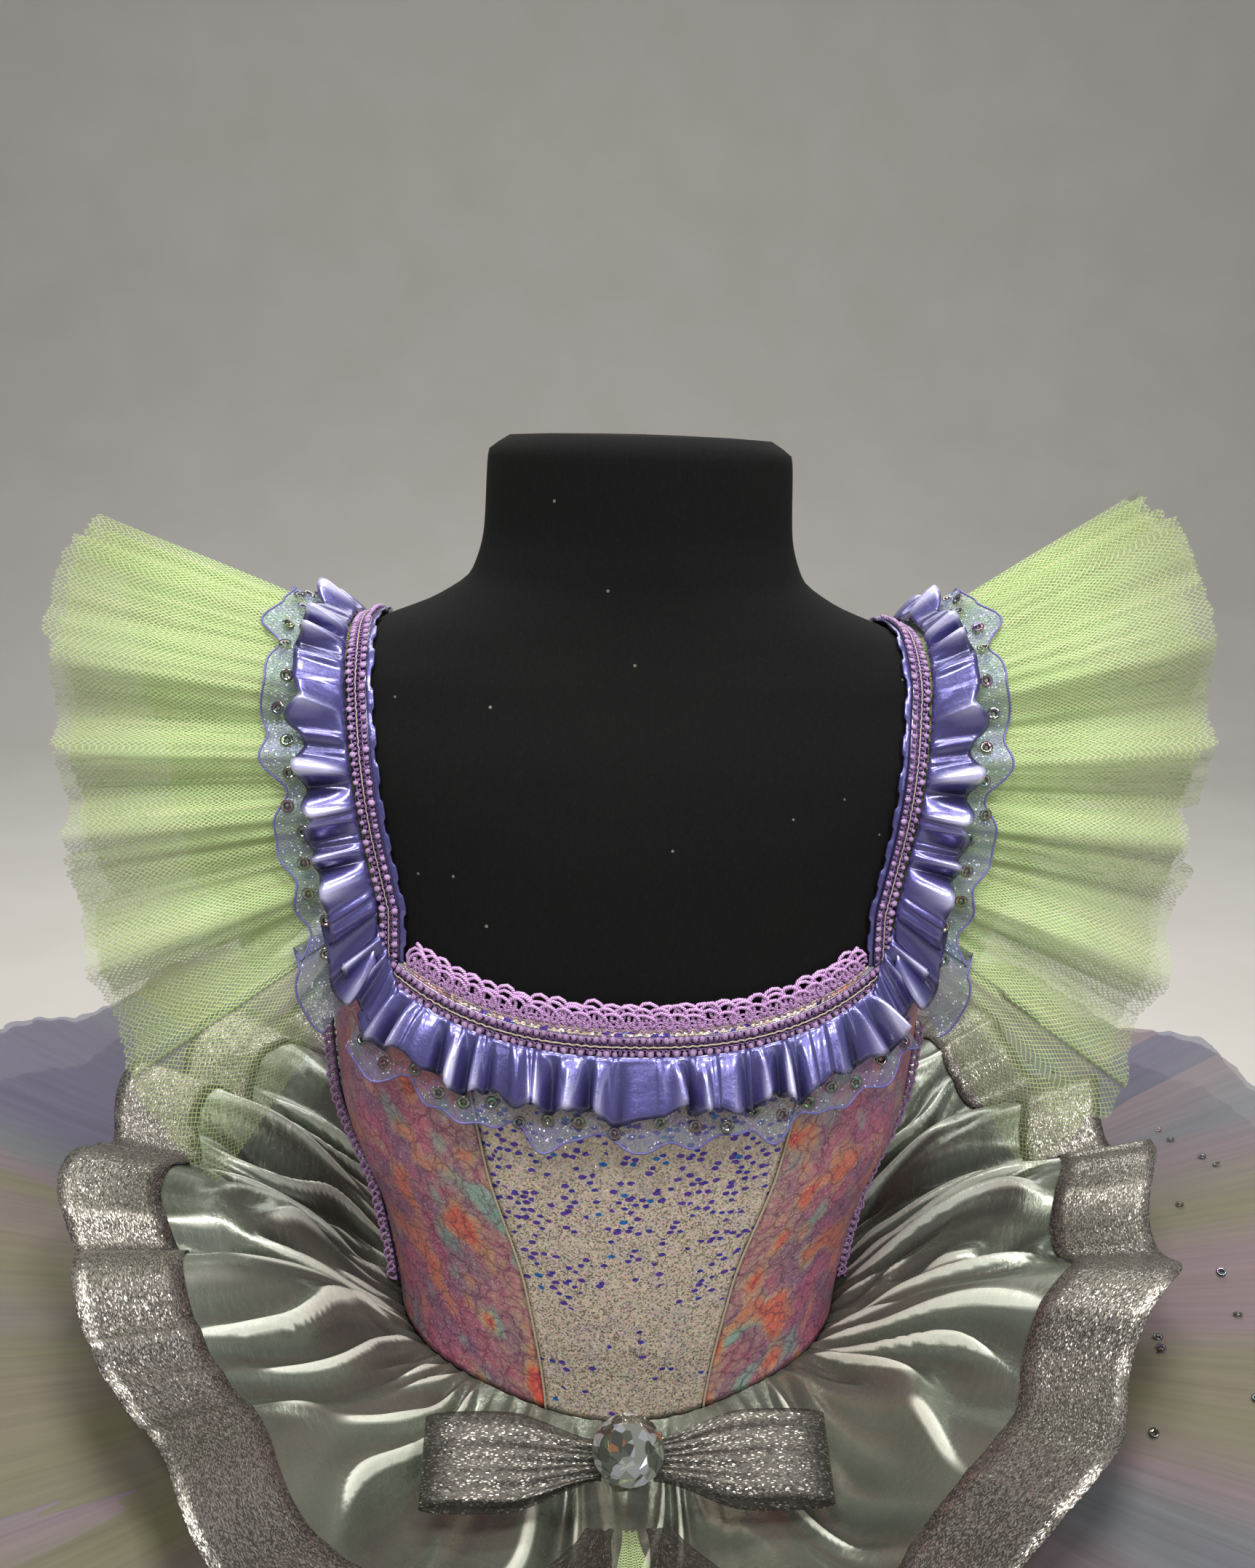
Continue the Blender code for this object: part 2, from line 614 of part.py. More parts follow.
def make_bow():
    """Two loops, two ribbon tails and a net tail under a knot with a round gem, lying on the overskirt."""
    centre, across, up, out = bow_axes()
    turn = np.linspace(LOOP_GAP, 1 - LOOP_GAP, LOOP_POINTS) * 2 * np.pi
    share = 0.5 - 0.5 * np.cos(turn)
    reach = KNOT_HALF + BOW_LOOP * share
    lift = BOW_LIFT + BOW_LOOP_THICKNESS / 2 * np.sin(turn) * share + np.cos(turn / 2)
    width = BOW_PINCH + (BOW_RIBBON - BOW_PINCH) * ease(share / LOOP_FULL_AT)
    for name, way in (("right", -1), ("left", 1)):
        middle = centre + reach[:, None] * way * across + lift[:, None] * out
        rows = np.stack([middle + sign * width[:, None] / 2 * up for sign in (-1, 0, 1)])
        cloth_object(f"bow_loop_{name}", rows[:, ::way], FINISH["silver"], BOW_WALL)
    for name, *sizes, finish in BOW_TAILS:
        cloth_object(f"bow_tail_{name}", tail_points(*sizes), FINISH[finish], BOW_WALL)
    make_knot(centre, across, up, out)


def tail_points(start, end, length, width, clear):
    """A tail of the bow, running outwards over the crests of the overskirt's folds."""
    run = np.linspace(0, 1, TAIL_POINTS)
    x = start + (end - start) * run
    y = BOW_CENTRE[1] - TAIL_START - length * run
    half = width * (TAIL_PINCH + (0.5 - TAIL_PINCH) * ease(run * 2))
    rows = []
    for edge in (x - half, x + half):
        height = tail_height(np.degrees(np.arctan2(edge, -y)), np.hypot(edge, y))
        rows.append(np.stack((edge, y, height + clear), -1))
    return np.stack(rows)


def tail_height(angle, distance):
    """Height of the crests of the overskirt's folds at a distance from the middle of the waist."""
    rows = np.stack([overskirt_points(angle, out, 1.0) for out in OVERSKIRT_ROWS])
    reach = np.hypot(rows[..., 0], rows[..., 1])
    return np.array([np.interp(distance[k], reach[:, k], rows[:, k, 2]) for k in range(len(angle))]) + CLOTH


def make_knot(centre, across, up, out):
    """Ribbon pad under the gem, and the gem: a turned crown with flat facets."""
    turn = np.linspace(0, 2 * np.pi, GEM_SIDES, endpoint=False)
    circle = np.cos(turn)[:, None] * across + np.sin(turn)[:, None] * up
    half, top, seat = KNOT_HALF, KNOT_TOP, KNOT_TOP + SEAM_GAP
    knot = ((half - 1, KNOT_BOTTOM), (half, KNOT_BOTTOM + 2.5), (half, top - 2.2), (half - 1.5, top))
    crown = (
        (GEM_RADIUS - GEM_BEVEL, seat),
        (GEM_RADIUS, seat + GEM_GIRDLE),
        (GEM_RADIUS - GEM_STEP, seat + GEM_STEP_HEIGHT),
        (GEM_TABLE, seat + GEM_HEIGHT),
    )
    pad = np.stack([centre + circle * radius + out * height for radius, height in knot])
    rings_object("bow_knot", pad, FINISH["silver"])
    stone = np.stack([centre + circle * radius + out * height for radius, height in crown])
    rings_object("bow_gem", stone, FINISH["gem"]).data.shade_flat()


def clear_scene():
    for old in list(bpy.data.objects):
        bpy.data.objects.remove(old)


clear_scene()
DRESS = bpy.data.collections.new("tutu_dress_on_form")
bpy.context.scene.collection.children.link(DRESS)
FINISH = {
    "jersey": material("black jersey", (0.006, 0.006, 0.007), 0.95),
    "base": material("black base", (0.02, 0.02, 0.02), 0.5),
    "pearl": material("pearl glitter", (0.50, 0.45, 0.38), 0.45),
    "bubble": material("bubble glitter", (0.32, 0.10, 0.22), 0.45),
    "satin": material("violet satin", (0.13, 0.11, 0.42), 0.32),
    "organza": material("grey violet organza", (0.20, 0.22, 0.36), 0.5),
    "braid": material("lilac braid", (0.48, 0.30, 0.62), 0.5),
    "lace": material("lilac lace", (0.50, 0.32, 0.65), 0.6),
    "net": material("green net", (0.50, 0.70, 0.30), 0.8),
    "sage_satin": material("sage satin", (0.22, 0.25, 0.21), 0.3, 0.2),
    "silver": material("silver ribbon", (0.45, 0.45, 0.43), 0.35, 0.6),
    "tulle": material("mauve tulle", (0.32, 0.24, 0.36), 0.85),
    "gem": material("clear gem", (0.85, 0.86, 0.88), 0.03, 0.4),
}
make_form()
make_bodice()
make_neck_trims()
make_side_braids()
make_straps()
make_neck_frills()
make_shoulder_frills()
make_overskirt()
make_tutu()
make_bow()
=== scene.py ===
"""Dressed model of a child's tutu dress on a limbless dress form, laid out as an add-on.

Shapes are worked out in millimetres, with heights measured from the waist seam, and become metres above
the floor when a mesh is made. The wearer's front faces -Y and the wearer's left side is +X.
"""

import math
from functools import partial

import bpy
import numpy as np
from bpy.props import FloatProperty, FloatVectorProperty, IntProperty, PointerProperty
from mathutils import Matrix, Vector

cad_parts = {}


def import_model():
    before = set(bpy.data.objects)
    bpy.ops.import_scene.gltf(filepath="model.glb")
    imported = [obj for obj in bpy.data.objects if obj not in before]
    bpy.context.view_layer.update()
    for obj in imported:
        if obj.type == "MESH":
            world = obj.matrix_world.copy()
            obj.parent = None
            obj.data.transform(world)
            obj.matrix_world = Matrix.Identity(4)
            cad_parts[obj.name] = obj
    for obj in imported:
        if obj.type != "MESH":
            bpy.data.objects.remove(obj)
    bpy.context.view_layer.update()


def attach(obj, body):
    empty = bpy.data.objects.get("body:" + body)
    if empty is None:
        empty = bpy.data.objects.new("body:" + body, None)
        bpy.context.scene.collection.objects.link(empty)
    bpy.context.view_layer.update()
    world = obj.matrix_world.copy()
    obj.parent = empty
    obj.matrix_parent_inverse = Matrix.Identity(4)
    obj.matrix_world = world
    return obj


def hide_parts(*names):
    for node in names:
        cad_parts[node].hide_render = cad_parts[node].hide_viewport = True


bl_info = {
    "name": "Tutu Dress",
    "version": (1, 0, 0),
    "blender": (4, 5, 0),
    "location": "View3D > Sidebar > Tutu",
    "description": "Builds a child's tutu dress on a dress form, piece by piece",
    "category": "Object",
}

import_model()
MM = 0.001

# The dress form, as in the part's source
WAIST_ABOVE_FLOOR = 212.0
BASE_THICKNESS = 12.0
BASE_HALF_WIDTH = 118.0
BASE_HALF_DEPTH = 96.0
NECK_TOP = 352.0
FORM_BOTTOM = -199.7

# Each row is one level of the form: height, half width, half depth, centre y, fullness of the superellipse
BODY_HEIGHT, BODY_WIDTH, BODY_DEPTH, BODY_CENTRE, BODY_FULLNESS = range(5)
BODY = np.array(
    (
        (-200.0, 106.0, 86.0, 2.0, 2.30),
        (-110.0, 110.0, 90.0, 3.0, 2.30),
        (-50.0, 99.0, 82.0, 2.0, 2.25),
        (0.0, 90.0, 77.0, 0.0, 2.20),
        (45.0, 96.0, 79.0, -1.0, 2.20),
        (100.0, 112.0, 84.0, -2.0, 2.30),
        (150.0, 115.0, 86.0, -2.0, 2.40),
        (205.0, 118.0, 82.0, 0.0, 2.50),
        (240.0, 126.0, 73.0, 2.0, 2.60),
        (264.0, 126.0, 62.0, 4.0, 2.50),
        (280.0, 104.0, 54.0, 4.0, 2.30),
        (292.0, 76.0, 50.0, 4.0, 2.20),
        (302.0, 63.0, 48.0, 4.0, 2.10),
        (318.0, 58.5, 47.0, 5.0, 2.00),
        (346.0, 57.0, 46.0, 6.0, 2.00),
        (NECK_TOP, 49.0, 39.0, 6.0, 2.00),
    )
)

# Bodice, as in the part's source
BODICE_OUTSIDE = 2.25
NECK_FRONT = 150.0
NECK_CORNER = 172.0
NECK_BACK = 162.0
NECK_CORNER_BACK = 176.0
ARMHOLE = 132.0
EDGE_ABOVE_BRAID = 5.3
CORNER_ANGLE = 46.0
CORNER_ANGLE_BACK = 134.0
CORNER_FLAT = 5.0
SIDE_SEAM_ANGLE = 86.0
PANEL_SEAM_TOP = 29.0
PANEL_SEAM_BOTTOM = 17.0
PANEL_GAP_ANGLE = 0.12
POINT_DROP = 10.0
POINT_SPREAD = 26.0
PLACKET_OVERLAP_ANGLE = 2.05
PLACKET_SHORT = 22.0
PLACKET_RISE = 4.0

# Straps and trims, as in the part's source
STRAP_CENTRE_HEIGHT = 190.0
STRAP_SIDE = 85.0
STRAP_SPREAD = 16.0
STRAP_WIDTH = 10.0
STRAP_START = -15.0
STRAP_END = 190.5
BRAID_END = 2.0
LACE_FROM = 5.7
LACE_END = 4.5
SIDE_BRAID_FROM = 5.0
SIDE_BRAID_BELOW_ARMHOLE = 6.0
THREAD_INSET = 1.0

# Frills, as in the part's source
FRILL_START = 5.8
FRILL_CLEAR = 0.4
FRILL_STEP = 2.0
FRILL_GROWTH = 1.2
SHOULDER_FRILL_START = 6.2
SHOULDER_FRILL_OUT = -0.3
SHOULDER_FRILL_INSET = 1.0
SHOULDER_FRILL_INSET_BACK = 9.5
NECK_FRILL_INSET = 1.5
NECK_FRILL_INSET_BACK = 3.5
NECK_FRILL_FLARE = 0.30
NECK_FRILL_TURN = 5
SATIN_PUFF = 6.6
SATIN_TUCK = 1.8
SATIN_UNEVEN = 0.6
ORGANZA_FOLD = 3.5
WING_FOLD = 9.0
FRONT_SATIN_FOLDS = 14
BACK_SATIN_FOLDS = 11
STRAP_SATIN_FOLDS = 16
FRONT_ORGANZA_FOLDS = 7
BACK_ORGANZA_FOLDS = 6
STRAP_ORGANZA_FOLDS = 9
WING_FOLDS = 12

# Direction in which the strap's frills stand: turn round the shoulder in degrees, then x, y and z towards +X
FAN_TURN, FAN_X, FAN_Y, FAN_Z = range(4)
FAN = np.array(
    (
        (-13.0, 0.52, -0.12, -0.84),
        (2.0, 0.84, -0.06, -0.54),
        (22.0, 0.97, -0.02, -0.22),
        (50.0, 1.00, 0.00, 0.04),
        (90.0, 0.94, 0.00, 0.34),
        (130.0, 0.99, 0.02, 0.02),
        (170.0, 0.87, 0.08, -0.46),
        (194.0, 0.52, 0.14, -0.84),
    )
)
FAN_LIFT_LEFT = 0.26

# Skirts, as in the part's source
OVERSKIRT_REACH = 181.0
OVERSKIRT_SIDE_HEIGHT = 60.0
OVERSKIRT_FRONT_HEIGHT = -6.0
OVERSKIRT_PUFF = 11.0
OVERSKIRT_FOLD = 11.0
OVERSKIRT_GROWTH = 0.7
OVERSKIRT_SWING = 4.2
RIDGES_PER_FOLD = 1.2
RIBBON_REACH = 216.0
RIBBON_RISE = 9.0
BOW_DIP = 13.0
FRONT_SPREAD = 48.0
TUTU_FOLDS = 16
TUTU_FOLD = 7.0
TUTU_FRONT_DROP = 70.0
FOLD_GROWTH = 1.2
TIER_CLEAR = 0.75
TIER_REACH, TIER_RIM, TIER_ROOT = range(3)
TIERS = ((350.0, 40.0, 7.0), (344.0, 16.0, 14.0), (334.0, -8.0, 21.0))

# Bow, as in the part's source
BOW_CENTRE = (-1.5, -118.0, 5.0)
BOW_UP = (0.0, 0.88, 0.475)
BOW_LIFT = 2.9
BOW_LOOP = 62.0
BOW_LOOP_THICKNESS = 14.0
BOW_RIBBON = 30.0
BOW_PINCH = 13.0
LOOP_FULL_AT = 0.55
KNOT_HALF = 8.5
KNOT_TOP = 10.2
GEM_RADIUS = 12.5
GEM_TABLE = 7.0
GEM_HEIGHT = 6.0
TAIL_START = 10.0
TAIL_PINCH = 0.22
BOW_TAILS = (
    ("right", -11.0, -28.0, 50.0, 22.0, 0.9),
    ("left", 10.0, 25.0, 50.0, 22.0, 0.9),
    ("net", -0.5, 0.0, 50.0, 12.0, 0.6),
)

# Camera at the photograph's viewing angle
CAMERA_PLACE = (-0.0297, -0.5107, 0.5610)
CAMERA_TURN = 3.14
CAMERA_PITCH = 14.2
CAMERA_ROLL = -1.66
CAMERA_LENS = 30.67
SENSOR = 36.0

SEED = 20


def tone(red, green, blue):
    """A display colour, 0 to 255, as a linear one."""
    share = np.array((red, green, blue)) / 255
    return tuple(np.where(share <= 0.04045, share / 12.92, ((share + 0.055) / 1.055) ** 2.4).tolist())


def colour_property(label, red, green, blue):
    """A colour on the panel, given as a display colour."""
    return FloatVectorProperty(
        name=label, description=f"Colour of the {label.lower()}", subtype="COLOR", size=3, min=0, max=1,
        default=tone(red, green, blue),
    )


def size_property(label, text, value, low, high):
    """A size on the panel, in millimetres."""
    return FloatProperty(name=label, description=text + ", in millimetres", default=value, min=low, max=high)


def count_property(label, text, value, low, high):
    """A whole number on the panel."""
    return IntProperty(name=label, description=text, default=value, min=low, max=high)


class TutuColours(bpy.types.PropertyGroup):
    """Colours of the cloths and trims."""

    jersey: colour_property("Jersey", 11, 11, 12)
    pearl: colour_property("Pearl fabric", 228, 204, 168)
    pearl_dot: colour_property("Pearl fabric's dots", 58, 60, 176)
    bubble: colour_property("Bubble fabric", 202, 108, 138)
    bubble_ring: colour_property("Bubble fabric's rings", 84, 38, 74)
    coral: colour_property("Coral patches", 255, 108, 80)
    teal: colour_property("Teal patches", 150, 208, 186)
    satin: colour_property("Violet satin", 90, 86, 150)
    organza: colour_property("Organza", 128, 130, 182)
    braid: colour_property("Braid", 226, 182, 234)
    # braid_shadow: the braid's dark threads, and the painted shade between the strands of its threads
    braid_shadow: colour_property("Braid's dark threads", 108, 62, 138)
    cream: colour_property("Cream cord", 226, 214, 178)
    net: colour_property("Green net", 188, 216, 146)
    sage: colour_property("Sage satin", 132, 139, 125)
    silver: colour_property("Silver ribbon", 138, 134, 126)
    mauve: colour_property("Mauve tulle", 124, 108, 114)
    olive: colour_property("Olive tulle", 114, 112, 84)
    slate: colour_property("Blue violet tulle", 94, 90, 116)


class TutuSizes(bpy.types.PropertyGroup):
    """Sizes of the trims and folds that a maker would choose."""

    wing_depth: size_property("Wing depth", "Depth of the net wings from the strap", 101.0, 60, 140)
    satin_depth: size_property("Satin depth", "Depth of the satin frills", 16.0, 8, 24)
    organza_depth: size_property("Organza depth", "Depth of the organza frills", 28.0, 14, 40)
    loop_pitch: size_property("Loop pitch", "Distance between the braid's loops", 2.6, 1.5, 5)
    lace_height: size_property("Lace height", "Height of the lace above the braid", 8.5, 4, 14)
    lace_pitch: size_property("Lace pitch", "Distance between the lace's picots", 6.6, 3, 10)
    sequin_radius: size_property("Sequin radius", "Radius of a cup sequin", 2.35, 1, 4)
    sequin_pitch: size_property("Sequin pitch", "Distance between sequins", 9.5, 4, 15)
    net_hole: size_property("Net hole", "Size of a hole in the net", 1.45, 0.5, 3)
    glitter: size_property("Glitter", "Size of a flake of glitter", 0.5, 0.3, 2)
    overskirt_folds: count_property("Overskirt folds", "Folds round the overskirt", 36, 12, 60)
    gathers: count_property("Tulle gathers", "Fine gathers round the tulle", 150, 40, 300)


# Shape helpers


def smooth_column(rows, column, at):
    """Value of a table's column at the places given, by cubic pieces that never overshoot the rows."""
    x = rows[:, 0]
    y = rows[:, column]
    at = np.clip(at, x[0], x[-1])
    slope = np.diff(y) / np.diff(x)
    same_way = slope[:-1] * slope[1:] > 0
    inner = np.zeros(len(slope) - 1)
    inner[same_way] = 2.0 / (1.0 / slope[:-1][same_way] + 1.0 / slope[1:][same_way])
    tangent = np.concatenate((slope[:1], inner, slope[-1:]))
    k = np.clip(np.searchsorted(x, at, side="right") - 1, 0, len(x) - 2)
    step = x[k + 1] - x[k]
    t = (at - x[k]) / step
    start = (1 + 2 * t) * (1 - t) ** 2 * y[k] + t * (1 - t) ** 2 * step * tangent[k]
    end = t**2 * (3 - 2 * t) * y[k + 1] - t**2 * (1 - t) * step * tangent[k + 1]
    return start + end


def unit(vectors):
    """Vectors divided by their lengths."""
    return vectors / np.maximum(np.linalg.norm(vectors, axis=-1, keepdims=True), 1e-9)


def ease(value):
    """Zero to one with level ends: three times the square less twice the cube."""
    value = np.clip(value, 0, 1)
    return value * value * (3 - 2 * value)


def bump_at(value, centre, spread):
    """One at the centre, falling to zero over a few spreads."""
    return np.exp(-(((value - centre) / spread) ** 2))


def body_excess(points):
    """Below zero inside the form, zero on its surface and above zero outside it."""
    x, y, z = np.moveaxis(points, -1, 0)
    width = smooth_column(BODY, BODY_WIDTH, z)
    depth = smooth_column(BODY, BODY_DEPTH, z)
    centre = smooth_column(BODY, BODY_CENTRE, z)
    power = smooth_column(BODY, BODY_FULLNESS, z)
    return (np.abs(x) / width) ** power + (np.abs(y - centre) / depth) ** power - 1.0


def body_normal(points):
    """Outward normal of the form, from the slope of body_excess along each axis."""
    reach = 0.5
    slopes = [body_excess(points + reach * axis) - body_excess(points - reach * axis) for axis in np.eye(3)]
    return unit(np.stack(slopes, -1))


def body_point(angle, height, out=0.0):
    """Point of the form at an angle in degrees from the front, moved out along the normal."""
    angle, height, out = np.broadcast_arrays(angle, height, out)
    turn = np.radians(angle)
    power = 2.0 / smooth_column(BODY, BODY_FULLNESS, height)
    width = smooth_column(BODY, BODY_WIDTH, height)
    depth = smooth_column(BODY, BODY_DEPTH, height)
    x = width * np.sign(np.sin(turn)) * np.abs(np.sin(turn)) ** power
    forward = depth * np.sign(np.cos(turn)) * np.abs(np.cos(turn)) ** power
    points = np.stack((x, smooth_column(BODY, BODY_CENTRE, height) - forward, height), -1)
    return points + out[..., None] * body_normal(points)


def strap_point(side, turn):
    """Point of the form under a strap: turn is in degrees, from the front over the shoulder to the back."""
    angle = np.radians(turn)
    x = side * (STRAP_SIDE + STRAP_SPREAD * np.clip(np.sin(angle), 0, 1))
    ray = np.stack((np.zeros_like(angle), -np.cos(angle), np.sin(angle)), -1)
    start = np.stack((x, np.zeros_like(angle), np.full_like(angle, STRAP_CENTRE_HEIGHT)), -1)
    near, far = np.zeros_like(angle), np.full_like(angle, 160.0)
    for _ in range(40):
        middle = 0.5 * (near + far)
        inside = body_excess(start + middle[..., None] * ray) < 0
        near, far = np.where(inside, middle, near), np.where(inside, far, middle)
    return start + near[..., None] * ray


def strap_frame(side, turn):
    """Points under the strap, the form's normal and the way across it to the shoulder."""
    points = strap_point(side, turn)
    along = unit(np.gradient(points, axis=0))
    normal = body_normal(points)
    across = unit(np.cross(along, normal)) * side
    return points, normal, across * np.sign(np.sum(across[:, :1] * side))


def neck_height(angle):
    """Height of the neckline braid: a shallow curve in front, a shallower one behind."""
    turn = np.abs((angle + 180) % 360 - 180)
    front = NECK_FRONT + (NECK_CORNER - NECK_FRONT) * np.clip(turn / CORNER_ANGLE, 0, 1) ** 2
    behind = np.clip((180 - turn) / (180 - CORNER_ANGLE_BACK), 0, 1) ** 2
    return np.where(turn < 90, front, NECK_BACK + (NECK_CORNER_BACK - NECK_BACK) * behind)


def top_height(angle):
    """Top edge of the bodice: the neckline between the straps and the armhole outside them."""
    turn = np.abs(angle)
    down_front = ease((turn - CORNER_ANGLE - CORNER_FLAT) / (80 - CORNER_ANGLE - CORNER_FLAT))
    down_back = ease((CORNER_ANGLE_BACK - CORNER_FLAT - turn) / (CORNER_ANGLE_BACK - CORNER_FLAT - 100))
    corner = np.where(turn < 90, NECK_CORNER, NECK_CORNER_BACK)
    fall = np.where(turn < 90, down_front, down_back)
    armhole = corner + (ARMHOLE - corner) * fall
    on_neck = (turn < CORNER_ANGLE) | (turn > CORNER_ANGLE_BACK)
    return np.where(on_neck, neck_height(angle), armhole) + EDGE_ABOVE_BRAID


def seam_height(angle):
    """Waist seam: level, with a shallow point at the front."""
    turn = (np.asarray(angle) + 180) % 360 - 180
    return -POINT_DROP * np.exp(-((turn / POINT_SPREAD) ** 2))


def front_share(angle):
    """One across the centre front, where the skirts hang lower under the bow, and zero elsewhere."""
    turn = (angle + 180) % 360 - 180
    return np.exp(-((turn / FRONT_SPREAD) ** 4))


def outward(angle):
    """The level way out from the middle, as x and y, at an angle in degrees from the front."""
    turn = np.radians(angle)
    return np.stack((np.sin(turn), -np.cos(turn)), -1)


def fan_direction(side, turn):
    """The way a strap's frills stand at each turn round the shoulder."""
    x, y, z = (smooth_column(FAN, column, turn) for column in (FAN_X, FAN_Y, FAN_Z))
    lift = np.where(side > 0, FAN_LIFT_LEFT, 0.0) * np.clip(np.sin(np.radians(turn)), 0, 1) ** 4
    return unit(np.stack((x * side, y, z + lift), -1))


def wander(along, bends, seed):
    """A smooth uneven line between about -1 and 1: three sines with whole rates and seeded phases."""
    phases = np.random.default_rng(seed).uniform(0, 1, 3)
    rates = np.maximum(1, np.round(np.array((0.61, 1.0, 1.57)) * bends))
    waves = np.sin(2 * np.pi * (rates * np.asarray(along)[..., None] + phases))
    return waves @ np.array((0.45, 0.35, 0.25))


def ruffle(along, folds, seed, uneven=0.22):
    """Uneven folds from 0 in a valley to about 1 on a crest: a cosine whose place and height wander."""
    phase = folds * along + uneven * wander(along, folds / 2.3, seed)
    crest = 0.5 - 0.5 * np.cos(2 * np.pi * phase)
    return crest * (1 + uneven * wander(along, folds / 1.7, seed + 1))


def relief(height, reach, depth, wrap=False):
    """Height of each point over the mean of its row within reach columns, as a shade: 0.5 at the mean."""
    # The satins paint shade in the valleys and a highlight on the crests from this, and the ribbon bright
    # flakes
    padded = np.pad(height, ((0, 0), (reach, reach)), mode="wrap" if wrap else "edge")
    total = np.cumsum(np.pad(padded, ((0, 0), (1, 0))), axis=1)
    mean = (total[:, 2 * reach + 1:] - total[:, : -2 * reach - 1]) / (2 * reach + 1)
    return np.clip(0.5 + (height - mean) / depth, 0, 1)


def crest_line(height, reach, depth, wrap=False):
    """How far each point stands over its neighbours on both sides, as a share: thin along the crests."""
    # The overskirt and its ribbon paint a thin highlight along the lines that this finds
    padded = np.pad(height, ((0, 0), (reach, reach)), mode="wrap" if wrap else "edge")
    sides = (padded[:, 2 * reach:] + padded[:, : -2 * reach]) / 2
    return np.clip((height - sides) / depth, 0, 1)


def length_along(points):
    """Distance along a line of points, or along each row of a grid's second axis."""
    steps = np.linalg.norm(np.diff(points, axis=-2), axis=-1)
    zero = np.zeros(steps.shape[:-1] + (1,))
    return np.concatenate((zero, np.cumsum(steps, axis=-1)), axis=-1)


# Meshes


def world(points):
    """Millimetres above the waist seam to metres above the floor."""
    return (points + np.array((0, 0, WAIST_ABOVE_FLOOR))) * MM


def grid_faces(rows, columns, wrap=False):
    """Corners of a grid's faces, as point numbers, and as places in a UV grid that never wraps."""
    column = np.arange(columns + wrap)
    points = np.arange(rows)[:, None] * columns + column % columns
    places = np.arange(rows)[:, None] * (columns + wrap) + column

    def corners(a):
        return np.stack((a[:-1, :-1], a[:-1, 1:], a[1:, 1:], a[1:, :-1]), -1).reshape(-1, 4)

    return corners(points), corners(places)


class Piece:
    """Grids of points gathered into one mesh, with a UV map in centimetres and a shade from 0 to 1."""

    def __init__(self):
        self.points, self.faces, self.uvs, self.shades, self.fans = [], [], [], [], []
        self.count = 0

    def add(self, points, uv=None, wrap=False, shade=0.5, caps=False):
        """Adds one grid, rows by columns by 3, or several alike; caps close its first and last row."""
        grids = points if points.ndim == 4 else points[None]
        copies, rows, columns = grids.shape[:3]
        size = rows * columns
        quads, places = grid_faces(rows, columns, wrap)
        self.faces.append((quads + self.count + size * np.arange(copies)[:, None, None]).reshape(-1, 4))
        if uv is None:
            uv = np.stack(np.meshgrid(np.linspace(0, 1, columns + wrap), np.linspace(0, 1, rows)), -1)
        flat = np.broadcast_to(uv.reshape(-1, 2), (copies, uv.size // 2, 2))
        self.uvs.append(flat[:, places.reshape(-1)].reshape(-1, 2))
        self.points.append(grids.reshape(-1, 3))
        self.shades.append(np.broadcast_to(shade, grids.shape[:3]).reshape(-1))
        if caps:
            ring = self.count + np.arange(columns)
            self.fans += [ring[::-1].tolist(), (ring + size - columns).tolist()]
        self.count += copies * size
        return self

    def make(self, name, material, replaces=(), slot=None, wall=0.0, smooth=True):
        """Makes the object: wall is its thickness, to the side of the faces that its sign says."""
        faces = np.concatenate(self.faces)
        mesh = bpy.data.meshes.new(name)
        mesh.from_pydata(world(np.concatenate(self.points)).tolist(), [], faces.tolist() + self.fans)
        uv = mesh.uv_layers.new(name="UVMap")
        corners = np.zeros((len(mesh.loops), 2))
        corners[: faces.size] = np.concatenate(self.uvs)
        uv.data.foreach_set("uv", corners.reshape(-1))
        shade = mesh.attributes.new("shade", "FLOAT", "POINT")
        shade.data.foreach_set("value", np.concatenate(self.shades).astype(np.float32))
        mesh.materials.append(material)
        if smooth:
            mesh.shade_smooth()
        made = bpy.data.objects.new(name, mesh)
        bpy.context.scene.collection.objects.link(made)
        if wall:
            shell = made.modifiers.new("Wall", "SOLIDIFY")
            shell.thickness = abs(wall) * MM
            shell.offset = math.copysign(1, wall)
            shell.use_even_offset = False
        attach(made, "root")
        if replaces:
            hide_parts(*replaces)
        return made


def cloth(name, points, material, slot, replaces=(), wall=0.5, wrap=False, shade=0.5):
    """One sheet of cloth from a grid of points, rows by columns, with its UV map in centimetres of cloth."""
    middle = points[len(points) // 2]
    u = length_along(np.concatenate((middle, middle[:1])) if wrap else middle)
    v = length_along(np.moveaxis(points, 0, 1))[points.shape[1] // 2]
    uv = np.stack(np.broadcast_arrays(u, v[:, None]), -1) / 10
    return Piece().add(points, uv, wrap, shade).make(name, material, replaces, slot, wall)


def add_tube(piece, path, normal, radius, sides=6, shade=0.5):
    """A round thread: a circle carried along a path, in the frame of the path and a normal at each point."""
    side = unit(np.cross(unit(np.gradient(path, axis=0)), normal))
    top = np.cross(side, unit(np.gradient(path, axis=0)))
    turn = np.linspace(0, -2 * np.pi, sides, endpoint=False)[:, None]
    points = path[:, None] + radius * (side[:, None] * np.cos(turn) + top[:, None] * np.sin(turn))
    uv = np.stack(np.broadcast_arrays(length_along(path)[:, None] / 10, np.linspace(0, 1, sides + 1)), -1)
    piece.add(points, uv, True, shade, caps=True)


